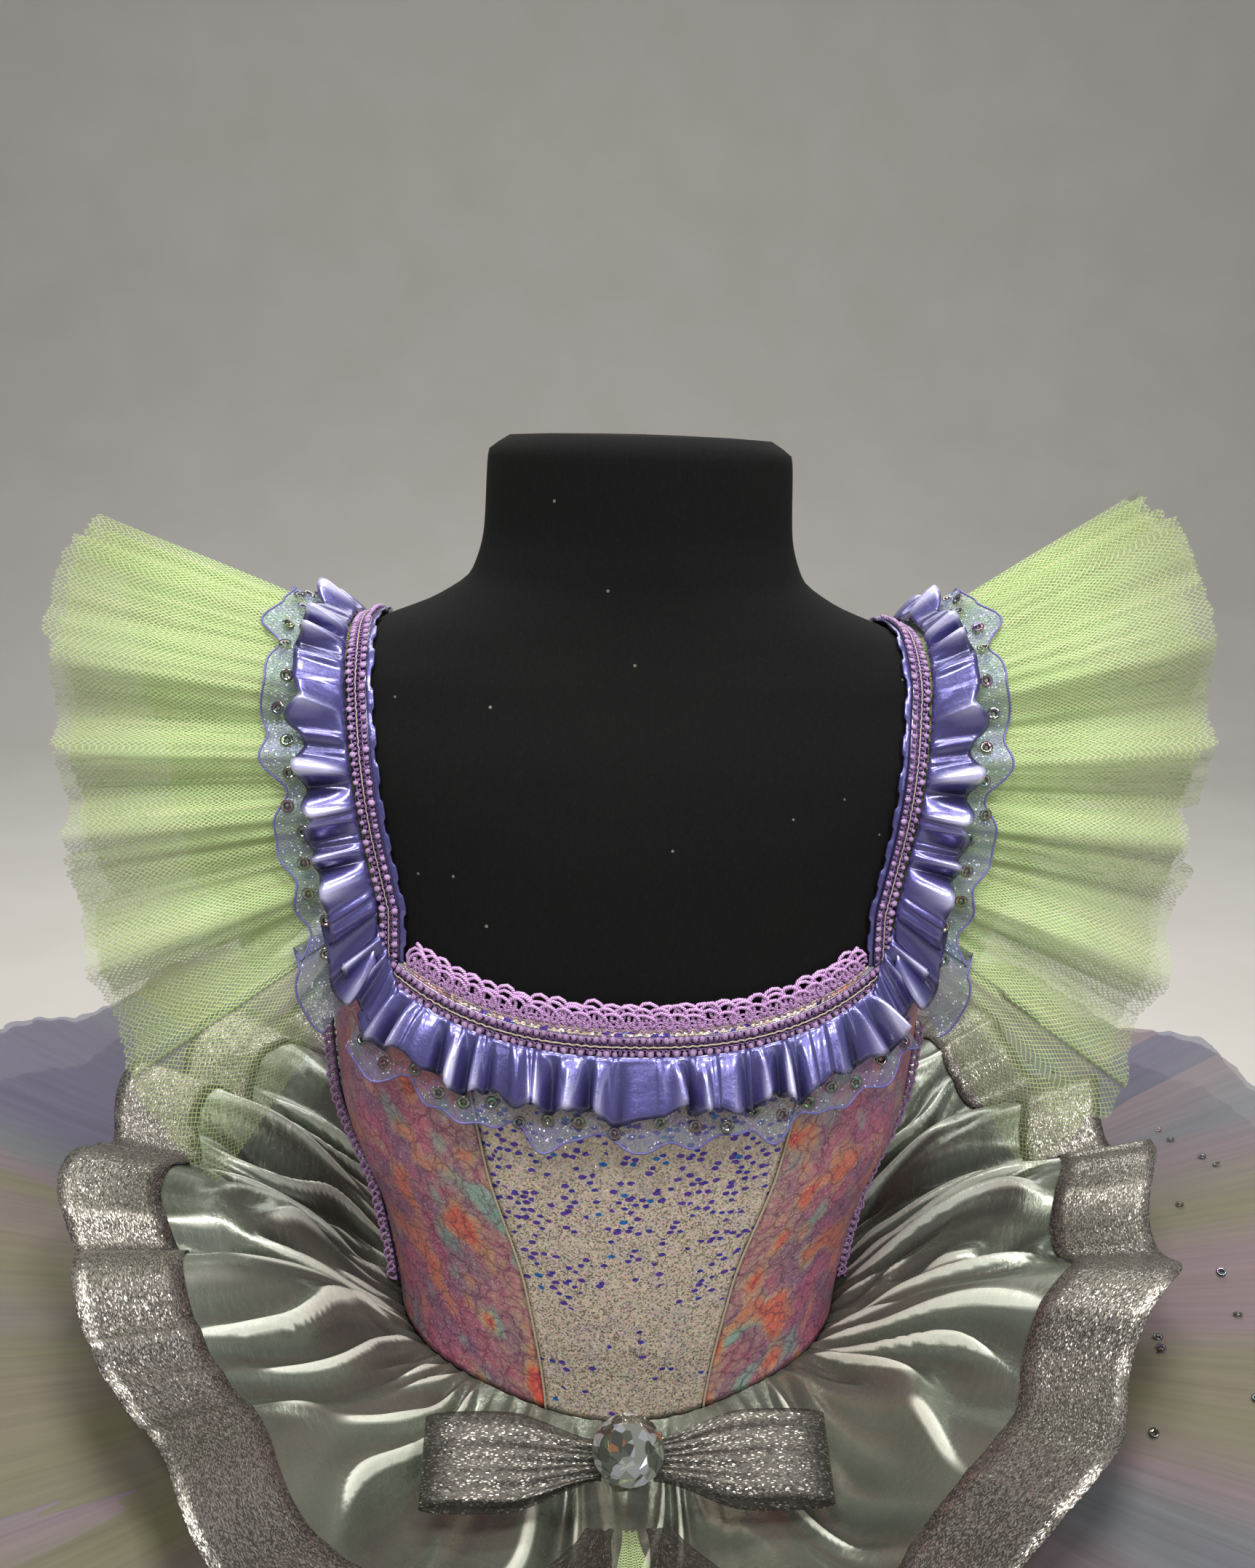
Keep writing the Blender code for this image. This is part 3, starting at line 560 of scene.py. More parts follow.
class Line:
    """A line on the dress, read at distances along it: its points, outward normals and the way across it."""

    def __init__(self, points, normal, across):
        self.rows = np.concatenate((points, normal, across), axis=1)
        self.distance = length_along(points)
        self.length = self.distance[-1]
        self.start, self.end = THREAD_INSET, self.length - THREAD_INSET

    def at(self, distance):
        """Point, normal and way across at each distance, read between the line's own points."""
        read = np.stack([np.interp(distance, self.distance, column) for column in self.rows.T], -1)
        return read[:, :3], unit(read[:, 3:6]), unit(read[:, 6:])

    def path(self, distance, across, out):
        """A path that runs beside the line, moved across it and out from it, and its normals."""
        points, normal, way = self.at(distance)
        return points + way * np.asarray(across)[..., None] + normal * np.asarray(out)[..., None], normal


# Nodes


class Nodes:
    """Adds nodes to a tree that ends in one node. Calls give the sockets that others link to."""

    def __init__(self, tree, end):
        self.tree = tree
        self.end = end

    def add(self, kind, inputs=(), **settings):
        """Adds a node, sets its settings, gives each input a value or a link, and gives back its outputs."""
        made = self.tree.nodes.new("ShaderNode" + kind)
        for key, value in settings.items():
            setattr(made, key, value)
        for key, value in dict(inputs).items():
            if isinstance(value, bpy.types.NodeSocket):
                self.tree.links.new(value, made.inputs[key])
            else:
                made.inputs[key].default_value = value
        return made.outputs

    def feed(self, **sockets):
        """Links sockets into the node that the tree ends in, with _ for the spaces in their names."""
        for key, value in sockets.items():
            self.tree.links.new(value, self.end.inputs[key.replace("_", " ")])

    def math(self, operation, first, second=0.5, third=0.5, clamp=False):
        """A sum on up to three values, of the kind that the operation names."""
        return self.add("Math", {0: first, 1: second, 2: third}, operation=operation, use_clamp=clamp)[0]

    def times(self, first, second):
        """The product of two values."""
        return self.math("MULTIPLY", first, second)

    def over(self, value, limit):
        """One where the value is over the limit, and zero elsewhere."""
        return self.math("GREATER_THAN", value, limit)

    def under(self, value, limit):
        """One where the value is under the limit, and zero elsewhere."""
        return self.math("LESS_THAN", value, limit)

    def away(self, value, middle):
        """How far a value is from a middle one, either way."""
        return self.math("ABSOLUTE", self.math("SUBTRACT", value, middle))

    def spread(self, value, low, high, to_low=0.0, to_high=1.0):
        """A range of values moved to another range and held at its ends."""
        inputs = {"Value": value, "From Min": low, "From Max": high, "To Min": to_low, "To Max": to_high}
        return self.add("MapRange", inputs)["Result"]

    def vector(self, operation, *inputs):
        """A sum on vectors, of the kind that the operation names."""
        return self.add("VectorMath", dict(enumerate(inputs)), operation=operation)[0]

    def scaled(self, vector, amount):
        """A vector times an amount."""
        return self.add("VectorMath", {0: vector, "Scale": amount}, operation="SCALE")[0]

    def placed(self, vector, **inputs):
        """A vector moved by Location, turned by Rotation and scaled by Scale."""
        return self.add("Mapping", {"Vector": vector, **inputs})[0]

    def mix(self, factor, first, second):
        """A colour between two, each a colour or a socket."""
        inputs = {0: factor}
        for key, value in ((6, first), (7, second)):
            inputs[key] = value if isinstance(value, bpy.types.NodeSocket) else (*value, 1)
        return self.add("Mix", inputs, data_type="RGBA")[2]

    def hue(self, colour, **inputs):
        """A colour with its Saturation or Value changed."""
        return self.add("HueSaturation", {"Color": colour, **inputs})[0]

    def parts(self, colour):
        """The Red, Green and Blue of a colour."""
        return self.add("SeparateColor", {"Color": colour})

    def ramp(self, value, stops, interpolation="LINEAR"):
        """A colour read at a value from stops, each a place and a colour."""
        made = self.add("ValToRGB", {"Fac": value})["Color"]
        ramp = made.node.color_ramp
        ramp.interpolation = interpolation
        for number, (at, colour) in enumerate(stops):
            stop = ramp.elements[number] if number < 2 else ramp.elements.new(at)
            stop.position = at
            stop.color = (*colour, 1)
        return made

    def noise(self, vector, scale, detail, output="Fac", **inputs):
        """Soft noise, as a value, or as a colour where the output is Color."""
        return self.add("TexNoise", {"Vector": vector, "Scale": scale, "Detail": detail, **inputs})[output]

    def cells(self, vector, scale, randomness=1.0, dimensions="3D"):
        """Cells round scattered points: the Distance from the nearest point, and a Color for each cell."""
        inputs = {"Vector": vector, "Scale": scale, "Randomness": randomness}
        return self.add("TexVoronoi", inputs, voronoi_dimensions=dimensions)

    def bump(self, height, distance):
        """The surface's normal, raised by a height that stands for a distance in millimetres."""
        return self.add("Bump", {"Height": height, "Distance": distance * MM, "Strength": 1.0})["Normal"]

    def cloth(self):
        """The cloth's own UV map, in centimetres."""
        return self.add("UVMap", uv_map="UVMap")[0]

    def solid(self):
        """The place of each point in the scene, in metres."""
        return self.add("TexCoord")["Object"]

    def shade(self):
        """The shade that the piece's points carry, from 0 to 1."""
        return self.add("Attribute", attribute_name="shade")["Fac"]

    def effect(self, name, **inputs):
        """One of the shared effects, placed with its own values."""
        return self.add("Group", inputs, node_tree=bpy.data.node_groups[name])

    def glitter(self, vector, size, tilt):
        """Flakes of a size in millimetres, on a map in centimetres."""
        return self.effect("Glitter", Vector=vector, Cells=10.0 / size, Tilt=tilt)


def new_material(name, colour, roughness, metallic=0.0, **sockets):
    """A material, and its nodes, which end in its shader."""
    made = bpy.data.materials.new(name)
    made.use_nodes = True
    made.diffuse_color = (*colour, 1)
    shader = made.node_tree.nodes["Principled BSDF"]
    values = {"Base_Color": (*colour, 1), "Roughness": roughness, "Metallic": metallic, **sockets}
    for key, value in values.items():
        shader.inputs[key.replace("_", " ")].default_value = value
    return made, Nodes(made.node_tree, shader)


def new_effect(name, numbers, results):
    """A node group that materials share: its nodes, which end in its results, and its inputs.

    Its inputs are a vector and the named numbers, and its results are given with their kinds of socket.
    """
    tree = bpy.data.node_groups.new(name, "ShaderNodeTree")
    tree.interface.new_socket("Vector", in_out="INPUT", socket_type="NodeSocketVector")
    for key, value in numbers.items():
        made = tree.interface.new_socket(key, in_out="INPUT", socket_type="NodeSocketFloat")
        made.default_value = value
    for key, kind in results.items():
        tree.interface.new_socket(key, in_out="OUTPUT", socket_type="NodeSocket" + kind)
    given = tree.nodes.new("NodeGroupInput").outputs
    return Nodes(tree, tree.nodes.new("NodeGroupOutput")), given


def make_glitter():
    """Flakes in cells: each has its own brightness and is tipped its own way."""
    results = {"Flake": "Float", "Colour": "Color", "Normal": "Vector"}
    nodes, given = new_effect("Glitter", {"Cells": 20.0, "Tilt": 0.5}, results)
    colour = nodes.cells(nodes.scaled(given["Vector"], given["Cells"]), 1.0)["Color"]
    lean = nodes.scaled(nodes.vector("SUBTRACT", colour, (0.5, 0.5, 0.5)), given["Tilt"])
    tipped = nodes.vector("ADD", nodes.add("NewGeometry")["Normal"], lean)
    nodes.feed(Flake=nodes.parts(colour)["Blue"], Colour=colour, Normal=nodes.vector("NORMALIZE", tipped))


def make_satin_face():
    """Fine threads across the cloth, and soft uneven shading where it was pressed and handled."""
    results = {"Height": "Float", "Tone": "Float", "Roughness": "Float"}
    nodes, given = new_effect("Satin Face", {"Threads": 30.0, "Uneven": 0.5}, results)
    threads = nodes.noise(nodes.placed(given["Vector"], Scale=(0.25, 3.0, 1.0)), given["Threads"], 2.0)
    creases = nodes.noise(given["Vector"], 2.2, 4.0, Roughness=0.6)
    nodes.feed(
        Height=nodes.math("MULTIPLY_ADD", threads, 0.12, creases),
        Tone=nodes.noise(given["Vector"], given["Uneven"], 3.0),
        Roughness=nodes.spread(creases, 0.3, 0.7, 0.21, 0.31),
    )


def make_net():
    """Even net: two sets of slanted threads with holes between them; the cover is most along the threads."""
    nodes, given = new_effect("Net", {"Holes": 10.0, "Least": 0.35, "Most": 0.9}, {"Cover": "Float"})
    place = nodes.add("SeparateXYZ", {0: given["Vector"]})
    steep = nodes.times(place["Y"], 0.62)
    threads = []
    for operation in ("ADD", "SUBTRACT"):
        turn = nodes.times(nodes.times(nodes.math(operation, place["X"], steep), given["Holes"]), math.pi)
        threads.append(nodes.math("ABSOLUTE", nodes.math("SINE", turn)))
    nodes.feed(Cover=nodes.spread(nodes.math("MINIMUM", *threads), 0.15, 0.6, given["Most"], given["Least"]))


def make_thread():
    """Twisted thread: slanted strands round the cord, as a sine of its UV map."""
    nodes, given = new_effect("Thread", {"Twist": 10.0}, {"Height": "Float"})
    place = nodes.add("SeparateXYZ", {0: given["Vector"]})
    turn = nodes.math("ADD", nodes.times(place["X"], given["Twist"]), nodes.times(place["Y"], 2.0))
    nodes.feed(Height=nodes.spread(nodes.math("SINE", nodes.times(turn, 2 * math.pi)), -1, 1))


# Materials


def jersey_material(colours):
    """Fine black knit, a little worn and fuzzy, with a few light specks of lint."""
    made, nodes = new_material("black jersey", colours.jersey, 0.95, Specular_IOR_Level=0.2)
    place = nodes.solid()
    knit = nodes.add("TexWave", {"Vector": place, "Scale": 420.0, "Distortion": 1.5, "Detail": 2.0})["Fac"]
    fuzz = nodes.noise(place, 900.0, 3.0)
    wear = nodes.noise(place, 14.0, 4.0)
    lint = nodes.cells(place, 95.0)
    keep = nodes.parts(lint["Color"])["Red"]
    speck = nodes.times(nodes.under(lint["Distance"], 0.055), nodes.over(keep, 0.62))
    soft = nodes.mix(nodes.spread(wear, 0.35, 0.7, 0.0, 0.5), colours.jersey, tone(17, 16, 15))
    threads = nodes.mix(nodes.spread(fuzz, 0.5, 0.8, 0.0, 0.4), soft, tone(30, 28, 26))
    colour = nodes.mix(nodes.times(speck, keep), threads, tone(120, 116, 104))
    nodes.feed(Base_Color=colour, Normal=nodes.bump(nodes.math("ADD", knit, fuzz), 0.12))
    return made


def base_material():
    """Moulded plastic with a fine grain."""
    made, nodes = new_material("black base", tone(28, 28, 29), 0.5)
    grain = nodes.noise(nodes.solid(), 260.0, 3.0)
    nodes.feed(Roughness=nodes.spread(grain, 0.3, 0.7, 0.42, 0.6), Normal=nodes.bump(grain, 0.15))
    return made


def pearl_material(colours, sizes):
    """Cream glitter with scattered violet and blue dots, which are rarer towards the waist."""
    made, nodes = new_material("pearl glitter", colours.pearl, 0.4)
    place = nodes.cloth()
    flakes = nodes.glitter(place, sizes.glitter * 1.15, 0.8)
    ground = nodes.mix(0.3, colours.pearl, nodes.hue(flakes["Colour"], Saturation=0.7, Value=1.15))
    ground = nodes.mix(nodes.times(nodes.under(flakes["Flake"], 0.2), 0.6), ground, tone(142, 122, 132))
    cool = nodes.spread(nodes.noise(place, 0.9, 3.0), 0.45, 0.7, 0.0, 0.2)
    ground = nodes.mix(cool, ground, tone(160, 156, 200))
    oval = nodes.placed(place, Scale=(0.8, 1.2, 1.0), Rotation=(0, 0, 0.35))
    dots = nodes.cells(oval, 3.5, dimensions="2D")
    chance = nodes.parts(dots["Color"])
    rarer = nodes.spread(nodes.add("SeparateXYZ", {0: place})["Y"], 4.0, 13.0, 0.95, 0.5)
    patch = nodes.math("SUBTRACT", 0.5, nodes.noise(place, 0.4, 2.0))
    shown = nodes.over(chance["Red"], nodes.math("MULTIPLY_ADD", patch, 1.4, rarer))
    size = nodes.math("MULTIPLY_ADD", chance["Green"], 0.14, 0.3)
    dot = nodes.times(shown, nodes.under(dots["Distance"], size))
    violet = nodes.mix(chance["Green"], colours.pearl_dot, tone(104, 66, 168))
    bright = nodes.mix(nodes.over(chance["Blue"], 0.9), violet, tone(40, 116, 196))
    nodes.feed(
        Base_Color=nodes.mix(dot, ground, bright),
        Normal=flakes["Normal"],
        Metallic=nodes.spread(flakes["Flake"], 0.6, 0.95, 0.0, 0.75),
        Roughness=nodes.spread(flakes["Flake"], 0.4, 1.0, 0.5, 0.22),
    )
    return made


# Rings of the bubble fabric: cells in a centimetre, shift of the cells, a ring's radius and its strength
BUBBLE_RINGS = ((1.15, 0.0, 0.50, 0.5), (1.35, 3.7, 0.46, 0.36), (2.4, 8.1, 0.40, 0.16))


def bubble_material(colours, sizes):
    """Patches of washed colour under overlapping rings.

    Each ring is a band at one distance from a cell's middle. The patches are stronger where the shade is
    high.
    """
    made, nodes = new_material("bubble glitter", colours.bubble, 0.42)
    place = nodes.cloth()
    bent = nodes.noise(place, 1.1, 1.0, "Color")
    loose = nodes.vector("MULTIPLY_ADD", bent, (0.3, 0.3, 0.0), place)
    near = nodes.spread(nodes.shade(), 0.3, 0.95, 0.3, 1.0)
    wash = nodes.spread(nodes.noise(place, 0.55, 1.0), 0.42, 0.6, 0.0, 0.7)
    blot = nodes.noise(place, 2.6, 3.0)
    strip = nodes.times(nodes.spread(nodes.shade(), 0.68, 1.0), nodes.spread(blot, 0.35, 0.6, 0.1, 0.6))
    colour = nodes.mix(wash, colours.bubble, tone(132, 114, 148))
    colour = nodes.mix(nodes.spread(blot, 0.45, 0.75, 0.0, 0.4), colour, tone(204, 152, 168))
    colour = nodes.mix(strip, colour, tone(216, 200, 152))
    for patch, shift, least, most in (
        (colours.teal, 0, 0.56, 0.85), (tone(232, 214, 138), 1, 0.51, 0.7), (colours.coral, 1, 0.55, 1.0)
    ):
        moved = nodes.placed(place, Location=(7.3 * shift, 4.1 * shift, 0), Scale=(0.95, 0.7, 1))
        mask = nodes.spread(nodes.noise(moved, 0.7, 0.8), least, least + 0.1, 0.0, most)
        colour = nodes.mix(nodes.times(mask, near), colour, patch)
    for scale, shift, radius, strength in BUBBLE_RINGS:
        moved = nodes.placed(loose, Location=(shift, shift * 0.7, 0))
        distance = nodes.cells(moved, scale, 0.8, "2D")["Distance"]
        colour = nodes.mix(nodes.spread(distance, 0.1, radius, 0.0, 0.1), colour, tone(140, 78, 118))
        ring = nodes.spread(nodes.away(distance, radius), 0.012, 0.085, strength, 0.0)
        colour = nodes.mix(ring, colour, colours.bubble_ring)
    flakes = nodes.glitter(place, sizes.glitter, 0.35)
    colour = nodes.mix(nodes.times(nodes.over(flakes["Flake"], 0.93), 0.4), colour, tone(236, 214, 224))
    nodes.feed(
        Base_Color=colour,
        Normal=flakes["Normal"],
        Metallic=nodes.spread(flakes["Flake"], 0.85, 0.97, 0.0, 0.6),
        Roughness=nodes.spread(flakes["Flake"], 0.4, 1.0, 0.52, 0.28),
    )
    return made


def satin_material(
    name, colour, crest, threads, metallic, crest_from=0.56, crest_width=0.32, coat=0.9, valley=0.36
):
    """Satin with painted shade in its valleys and a painted highlight along its crests, from its shade."""
    made, nodes = new_material(name, colour, 0.3, metallic, Coat_Weight=coat, Coat_Roughness=0.14)
    face = nodes.effect("Satin Face", Vector=nodes.cloth(), Threads=threads, Uneven=0.35)
    # crest is the colour of the painted highlight, and valley the share of the colour kept in the painted
    # shade
    painted_valley_shade, soft = (tuple(amount * share for share in colour) for amount in (valley, 0.5 + 0.7 * valley))
    fold = nodes.shade()
    tint = nodes.mix(nodes.spread(face["Tone"], 0.3, 0.7), soft, colour)
    tint = nodes.mix(nodes.spread(fold, 0.2, 0.52), painted_valley_shade, tint)
    painted_crest_highlight = nodes.math("POWER", nodes.spread(fold, crest_from, crest_from + crest_width), 2.0)
    nodes.feed(
        Base_Color=nodes.mix(painted_crest_highlight, tint, crest),
        Roughness=face["Roughness"],
        Normal=nodes.bump(face["Height"], 0.3),
        Metallic=nodes.spread(painted_crest_highlight, 0.0, 1.0, metallic, 0.45 * metallic),
    )
    return made


def organza_material(colours):
    """Sheer organza: a fine even weave, a tint that shimmers, and a few sparks."""
    made, nodes = new_material("sequin organza", colours.organza, 0.3, 0.25)
    place = nodes.cloth()
    weave = nodes.effect("Net", Vector=place, Holes=22.0, Least=0.3, Most=0.52)["Cover"]
    flakes = nodes.glitter(place, 0.4, 0.4)
    spark = nodes.over(flakes["Flake"], 0.975)
    shimmer = nodes.spread(nodes.noise(place, 1.1, 2.0), 0.35, 0.65)
    tint = nodes.mix(shimmer, colours.organza, tone(122, 146, 160))
    nodes.feed(
        Base_Color=nodes.mix(spark, tint, tone(220, 222, 240)),
        Alpha=nodes.math("MAXIMUM", weave, spark),
        Normal=flakes["Normal"],
    )
    return made


def net_material(colours, sizes):
    """Even net, streaked a little along its pleats, with thin lines of denser net and painted shade in
    creases.
    """
    made, nodes = new_material("green net", colours.net, 0.75, Sheen_Weight=0.1)
    place = nodes.cloth()
    cover = nodes.effect("Net", Vector=place, Holes=10.0 / sizes.net_hole, Least=0.12, Most=1.0)["Cover"]
    lines = nodes.noise(nodes.placed(place, Scale=(2.4, 0.12, 1.0)), 1.6, 3.0)
    # Crease lines: denser net, and painted shade
    crease_density_and_shade = nodes.spread(nodes.away(lines, 0.52), 0.0, 0.012, 0.7, 0.0)
    warm = nodes.mix(nodes.spread(lines, 0.35, 0.65), colours.net, tone(200, 210, 154))
    # Painted shade: darker olive towards the outer rows and in the front lobe, where the shade is high
    warm = nodes.mix(nodes.spread(nodes.shade(), 0.6, 1.0, 0.0, 0.55), warm, tone(150, 152, 104))
    # Painted shade in the holes, which are darker than the threads
    meshed_with_shaded_holes = nodes.mix(cover, nodes.mix(0.6, warm, tone(112, 140, 80)), warm)
    even = nodes.times(cover, nodes.spread(lines, 0.3, 0.7, 0.85, 1.1))
    thin = nodes.times(even, nodes.spread(nodes.shade(), 0.55, 1.0, 1.0, 0.6))
    colour = nodes.mix(crease_density_and_shade, meshed_with_shaded_holes, tone(104, 132, 78))
    nodes.feed(Base_Color=colour, Alpha=nodes.math("MAXIMUM", thin, crease_density_and_shade))
    return made


def silver_material(name, colours, sizes, light, sheer, sparse):
    """Glitter ribbon: flakes tipped each its own way over a sheer ground; sparse is the share left as ground.

    More flakes are painted bright along the crests of the folds, where the shade is high: a painted
    highlight.
    """
    made, nodes = new_material(name, colours.silver, 0.35, 0.8)
    short = nodes.placed(nodes.cloth(), Scale=(0.6, 1.5, 1.0), Rotation=(0, 0, 0.5))
    flakes = nodes.glitter(short, sizes.glitter * 0.9, 0.36)
    dark, bright = (tuple(amount * light * share for share in colours.silver) for amount in (0.52, 2.0))
    painted_crest_sparkle_limit = nodes.spread(nodes.shade(), 0.3, 0.85, sparse + 0.5, sparse)
    shown = nodes.spread(flakes["Flake"], painted_crest_sparkle_limit, 1.0)
    nodes.feed(
        Base_Color=nodes.mix(shown, dark, bright),
        Normal=flakes["Normal"],
        Alpha=nodes.spread(shown, 0.1, 0.6, sheer, 1.0),
        Roughness=nodes.spread(shown, 0.2, 1.0, 0.46, 0.22),
    )
    return made


def tulle_material(name, colours, cover, shift):
    """Sheer tulle in bands of colour round the skirt, with fine radial lines of denser tulle and painted
    shade.
    """
    made, nodes = new_material(name, colours.mauve, 0.7, Sheen_Weight=0.2)
    place = nodes.cloth()
    lines = nodes.placed(place, Scale=(1.1, 0.03, 1.0), Location=(shift, 0, 0))
    fine = nodes.noise(lines, 4.0, 4.0, Roughness=0.65)
    bands = nodes.placed(place, Scale=(0.075, 0.012, 1.0), Location=(shift, 0, 0))
    stops = (
        (0.33, colours.slate), (0.43, tone(104, 108, 112)), (0.50, colours.mauve), (0.58, colours.olive),
        (0.68, tone(128, 110, 114)),
    )
    tint = nodes.ramp(nodes.noise(bands, 1.0, 1.5, Distortion=0.4), stops)
    cover = nodes.math("MULTIPLY", nodes.spread(fine, 0.3, 0.7, 0.93, 1.05), cover, clamp=True)
    # The fine lines also make the tint a little darker and lighter: painted shade and light, as of gathers
    nodes.feed(Base_Color=nodes.hue(tint, Value=nodes.spread(fine, 0.3, 0.7, 0.92, 1.05)), Alpha=cover)
    return made


def thread_material(name, light, dark, twist, roughness=0.45):
    """Shiny twisted thread with a little fuzz; painted shade between its strands, dark where its shade is
    low.
    """
    made, nodes = new_material(name, light, roughness, Coat_Weight=0.4, Coat_Roughness=0.25)
    strands = nodes.effect("Thread", Vector=nodes.cloth(), Twist=twist)["Height"]
    fuzz = nodes.noise(nodes.solid(), 700.0, 2.0)
    # Painted shade: darker in the grooves between the strands
    tint = nodes.mix(nodes.spread(strands, 0.1, 0.6), dark, light)
    tint = nodes.mix(nodes.times(fuzz, 0.25), tint, tone(240, 222, 244))
    nodes.feed(Base_Color=nodes.mix(nodes.shade(), dark, tint), Normal=nodes.bump(strands, 0.15))
    return made


def sequin_material():
    """Clear cup sequins: each has its own tint, and painted shade darkens the hole, the rim and the
    underside.
    """
    made, nodes = new_material("cup sequins", tone(150, 150, 150), 0.12, 0.85)
    rainbow = nodes.hue(nodes.noise(nodes.solid(), 120.0, 1.0, "Color"), Saturation=1.7, Value=0.9)
    tint = nodes.mix(0.3, tone(128, 128, 124), rainbow)
    nodes.feed(Base_Color=nodes.mix(nodes.shade(), tone(24, 24, 24), tint))
    return made


def gem_material():
    """Clear acrylic over foil: cells of grey green, white, near black and amber, as the cuts mirror them."""
    clear = {"Coat_Weight": 0.8, "Coat_Roughness": 0.02}
    made, nodes = new_material("clear gem", tone(196, 200, 202), 0.06, 0.8, **clear)
    # Painted reflection and highlight: each cell keeps its colour whatever surrounds the gem
    pick = nodes.parts(nodes.cells(nodes.solid(), 270.0)["Color"])["Red"]
    stops = (
        (0.0, tone(92, 98, 82)), (0.3, tone(186, 190, 180)), (0.55, tone(40, 36, 30)),
        (0.72, tone(236, 240, 246)), (0.93, tone(206, 120, 50)),
    )
    nodes.feed(Base_Color=nodes.mix(0.6, tone(140, 144, 132), nodes.ramp(pick, stops, "CONSTANT")))
    return made


FINISHES = {}


def make_finishes(colours, sizes):
    """Builds the shared effects and every material, by name."""
    for make_effect in (make_glitter, make_satin_face, make_net, make_thread):
        make_effect()
    FINISHES.update(
        jersey=jersey_material(colours),
        base=base_material(),
        pearl=pearl_material(colours, sizes),
        bubble=bubble_material(colours, sizes),
        # The tone after each satin's colour is the painted highlight on its crests, and valley sets its
        # painted shade
        satin=satin_material("violet satin", colours.satin, tone(200, 198, 236), 36.0, 0.5),
        sage=satin_material(
            "sage satin", colours.sage, tone(238, 243, 228), 24.0, 0.65,
            crest_from=0.62, crest_width=0.28, coat=0.5, valley=0.6,
        ),
        organza=organza_material(colours),
        net=net_material(colours, sizes),
        silver=silver_material("silver glitter ribbon", colours, sizes, light=1.0, sheer=0.75, sparse=0.0),
        bow=silver_material("sheer silver ribbon", colours, sizes, light=0.68, sheer=0.62, sparse=0.5),
        # Each thread's second colour darkens it where its shade is low, and is the painted shade between its
        # strands
        braid=thread_material("lilac braid", colours.braid, colours.braid_shadow, 16.0, 0.35),
        lace=thread_material("lilac lace", tone(236, 186, 238), tone(150, 100, 172), 12.0, 0.5),
        edge=thread_material("overlock thread", tone(98, 96, 190), tone(56, 50, 120), 14.0),
        strip=satin_material("dark satin strip", tone(50, 38, 84), tone(90, 70, 140), 30.0, 0.2),
        cream=thread_material("cream cord", colours.cream, tone(150, 136, 106), 14.0),
        sequin=sequin_material(),
        gem=gem_material(),
    )
    for number, cover in ((1, 0.72), (2, 0.8), (3, 0.85), (4, 0.9)):
        FINISHES[f"tulle_{number}"] = tulle_material(f"tulle {number}", colours, cover, 3.1 * number)


def finish(name):
    """A material by name. The first call makes them all, from the colours and sizes that the panel shows."""
    if not FINISHES:
        scene = bpy.context.scene
        make_finishes(scene.tutu_colours, scene.tutu_sizes)
    return FINISHES[name]


# Tables that several pieces share

SIDES = (("right", -1), ("left", 1))

# Necklines: middle and half width in degrees, inset of the frills, row of the fan at the corners, and folds
FRONT_FOLDS = (FRONT_SATIN_FOLDS, FRONT_ORGANZA_FOLDS)
BACK_FOLDS = (BACK_SATIN_FOLDS, BACK_ORGANZA_FOLDS)
NECKS = {
    "front": (0.0, CORNER_ANGLE, NECK_FRILL_INSET, 0, FRONT_FOLDS),
    "back": (180.0, 180 - CORNER_ANGLE_BACK, NECK_FRILL_INSET_BACK, -1, BACK_FOLDS),
}


# Dress form

FORM_COLUMNS = 144

# Levels of the form's rings, closer over the shoulders and up the neck
FORM_LEVELS = np.concatenate((np.linspace(FORM_BOTTOM, 226, 36), np.linspace(230, NECK_TOP, 48)))

# Rings of the top of the neck: share of the neck's outline, and rise over its edge
NECK_RINGS = ((0.7, 0.8), (0.35, 1.2), (0.02, 1.4))

# Rings of the foot: height above the floor, and share of its outline
FOOT_RINGS = np.array(
    (
        (0.0, 0.985), (0.0, 0.995), (1.2, 1.0), (BASE_THICKNESS - 2.5, 1.0), (BASE_THICKNESS - 0.9, 0.992),
        (BASE_THICKNESS, 0.975), (BASE_THICKNESS, 0.93),
    )
)


class FormBuilder(bpy.types.Operator):
    """Make the dress form and its foot"""

    bl_idname = "tutu.make_form"
    bl_label = "Dress form"

    def execute(self, context):
        angle = np.linspace(0, 360, FORM_COLUMNS, endpoint=False)
        rings = body_point(angle, FORM_LEVELS[:, None])
        centre = np.array((0, BODY[-1, BODY_CENTRE], NECK_TOP))
        top = [centre + (rings[-1] - centre) * share + (0, 0, rise) for share, rise in NECK_RINGS]
        body = Piece().add(np.concatenate((rings, top)), wrap=True, caps=True)
        body.make("form_body", finish("jersey"), ("dress_form",), "jersey")
        height, share = FOOT_RINGS.T[..., None]
        outline = outward(angle) * (BASE_HALF_WIDTH, BASE_HALF_DEPTH)
        x, y = np.moveaxis(outline * share[..., None], -1, 0)
        rings = np.stack(np.broadcast_arrays(x, y, height - WAIST_ABOVE_FLOOR), -1)
        Piece().add(rings, wrap=True, caps=True).make("form_foot", finish("base"), ("form_base",), "base")
        return {"FINISHED"}


# Bodice

# Seams, as angles at the waist and at the top
FRONT_SEAM = np.array((PANEL_SEAM_BOTTOM, PANEL_SEAM_TOP))
SIDE_SEAM = np.full(2, SIDE_SEAM_ANGLE)
BACK_SEAM = np.full(2, 180.0)

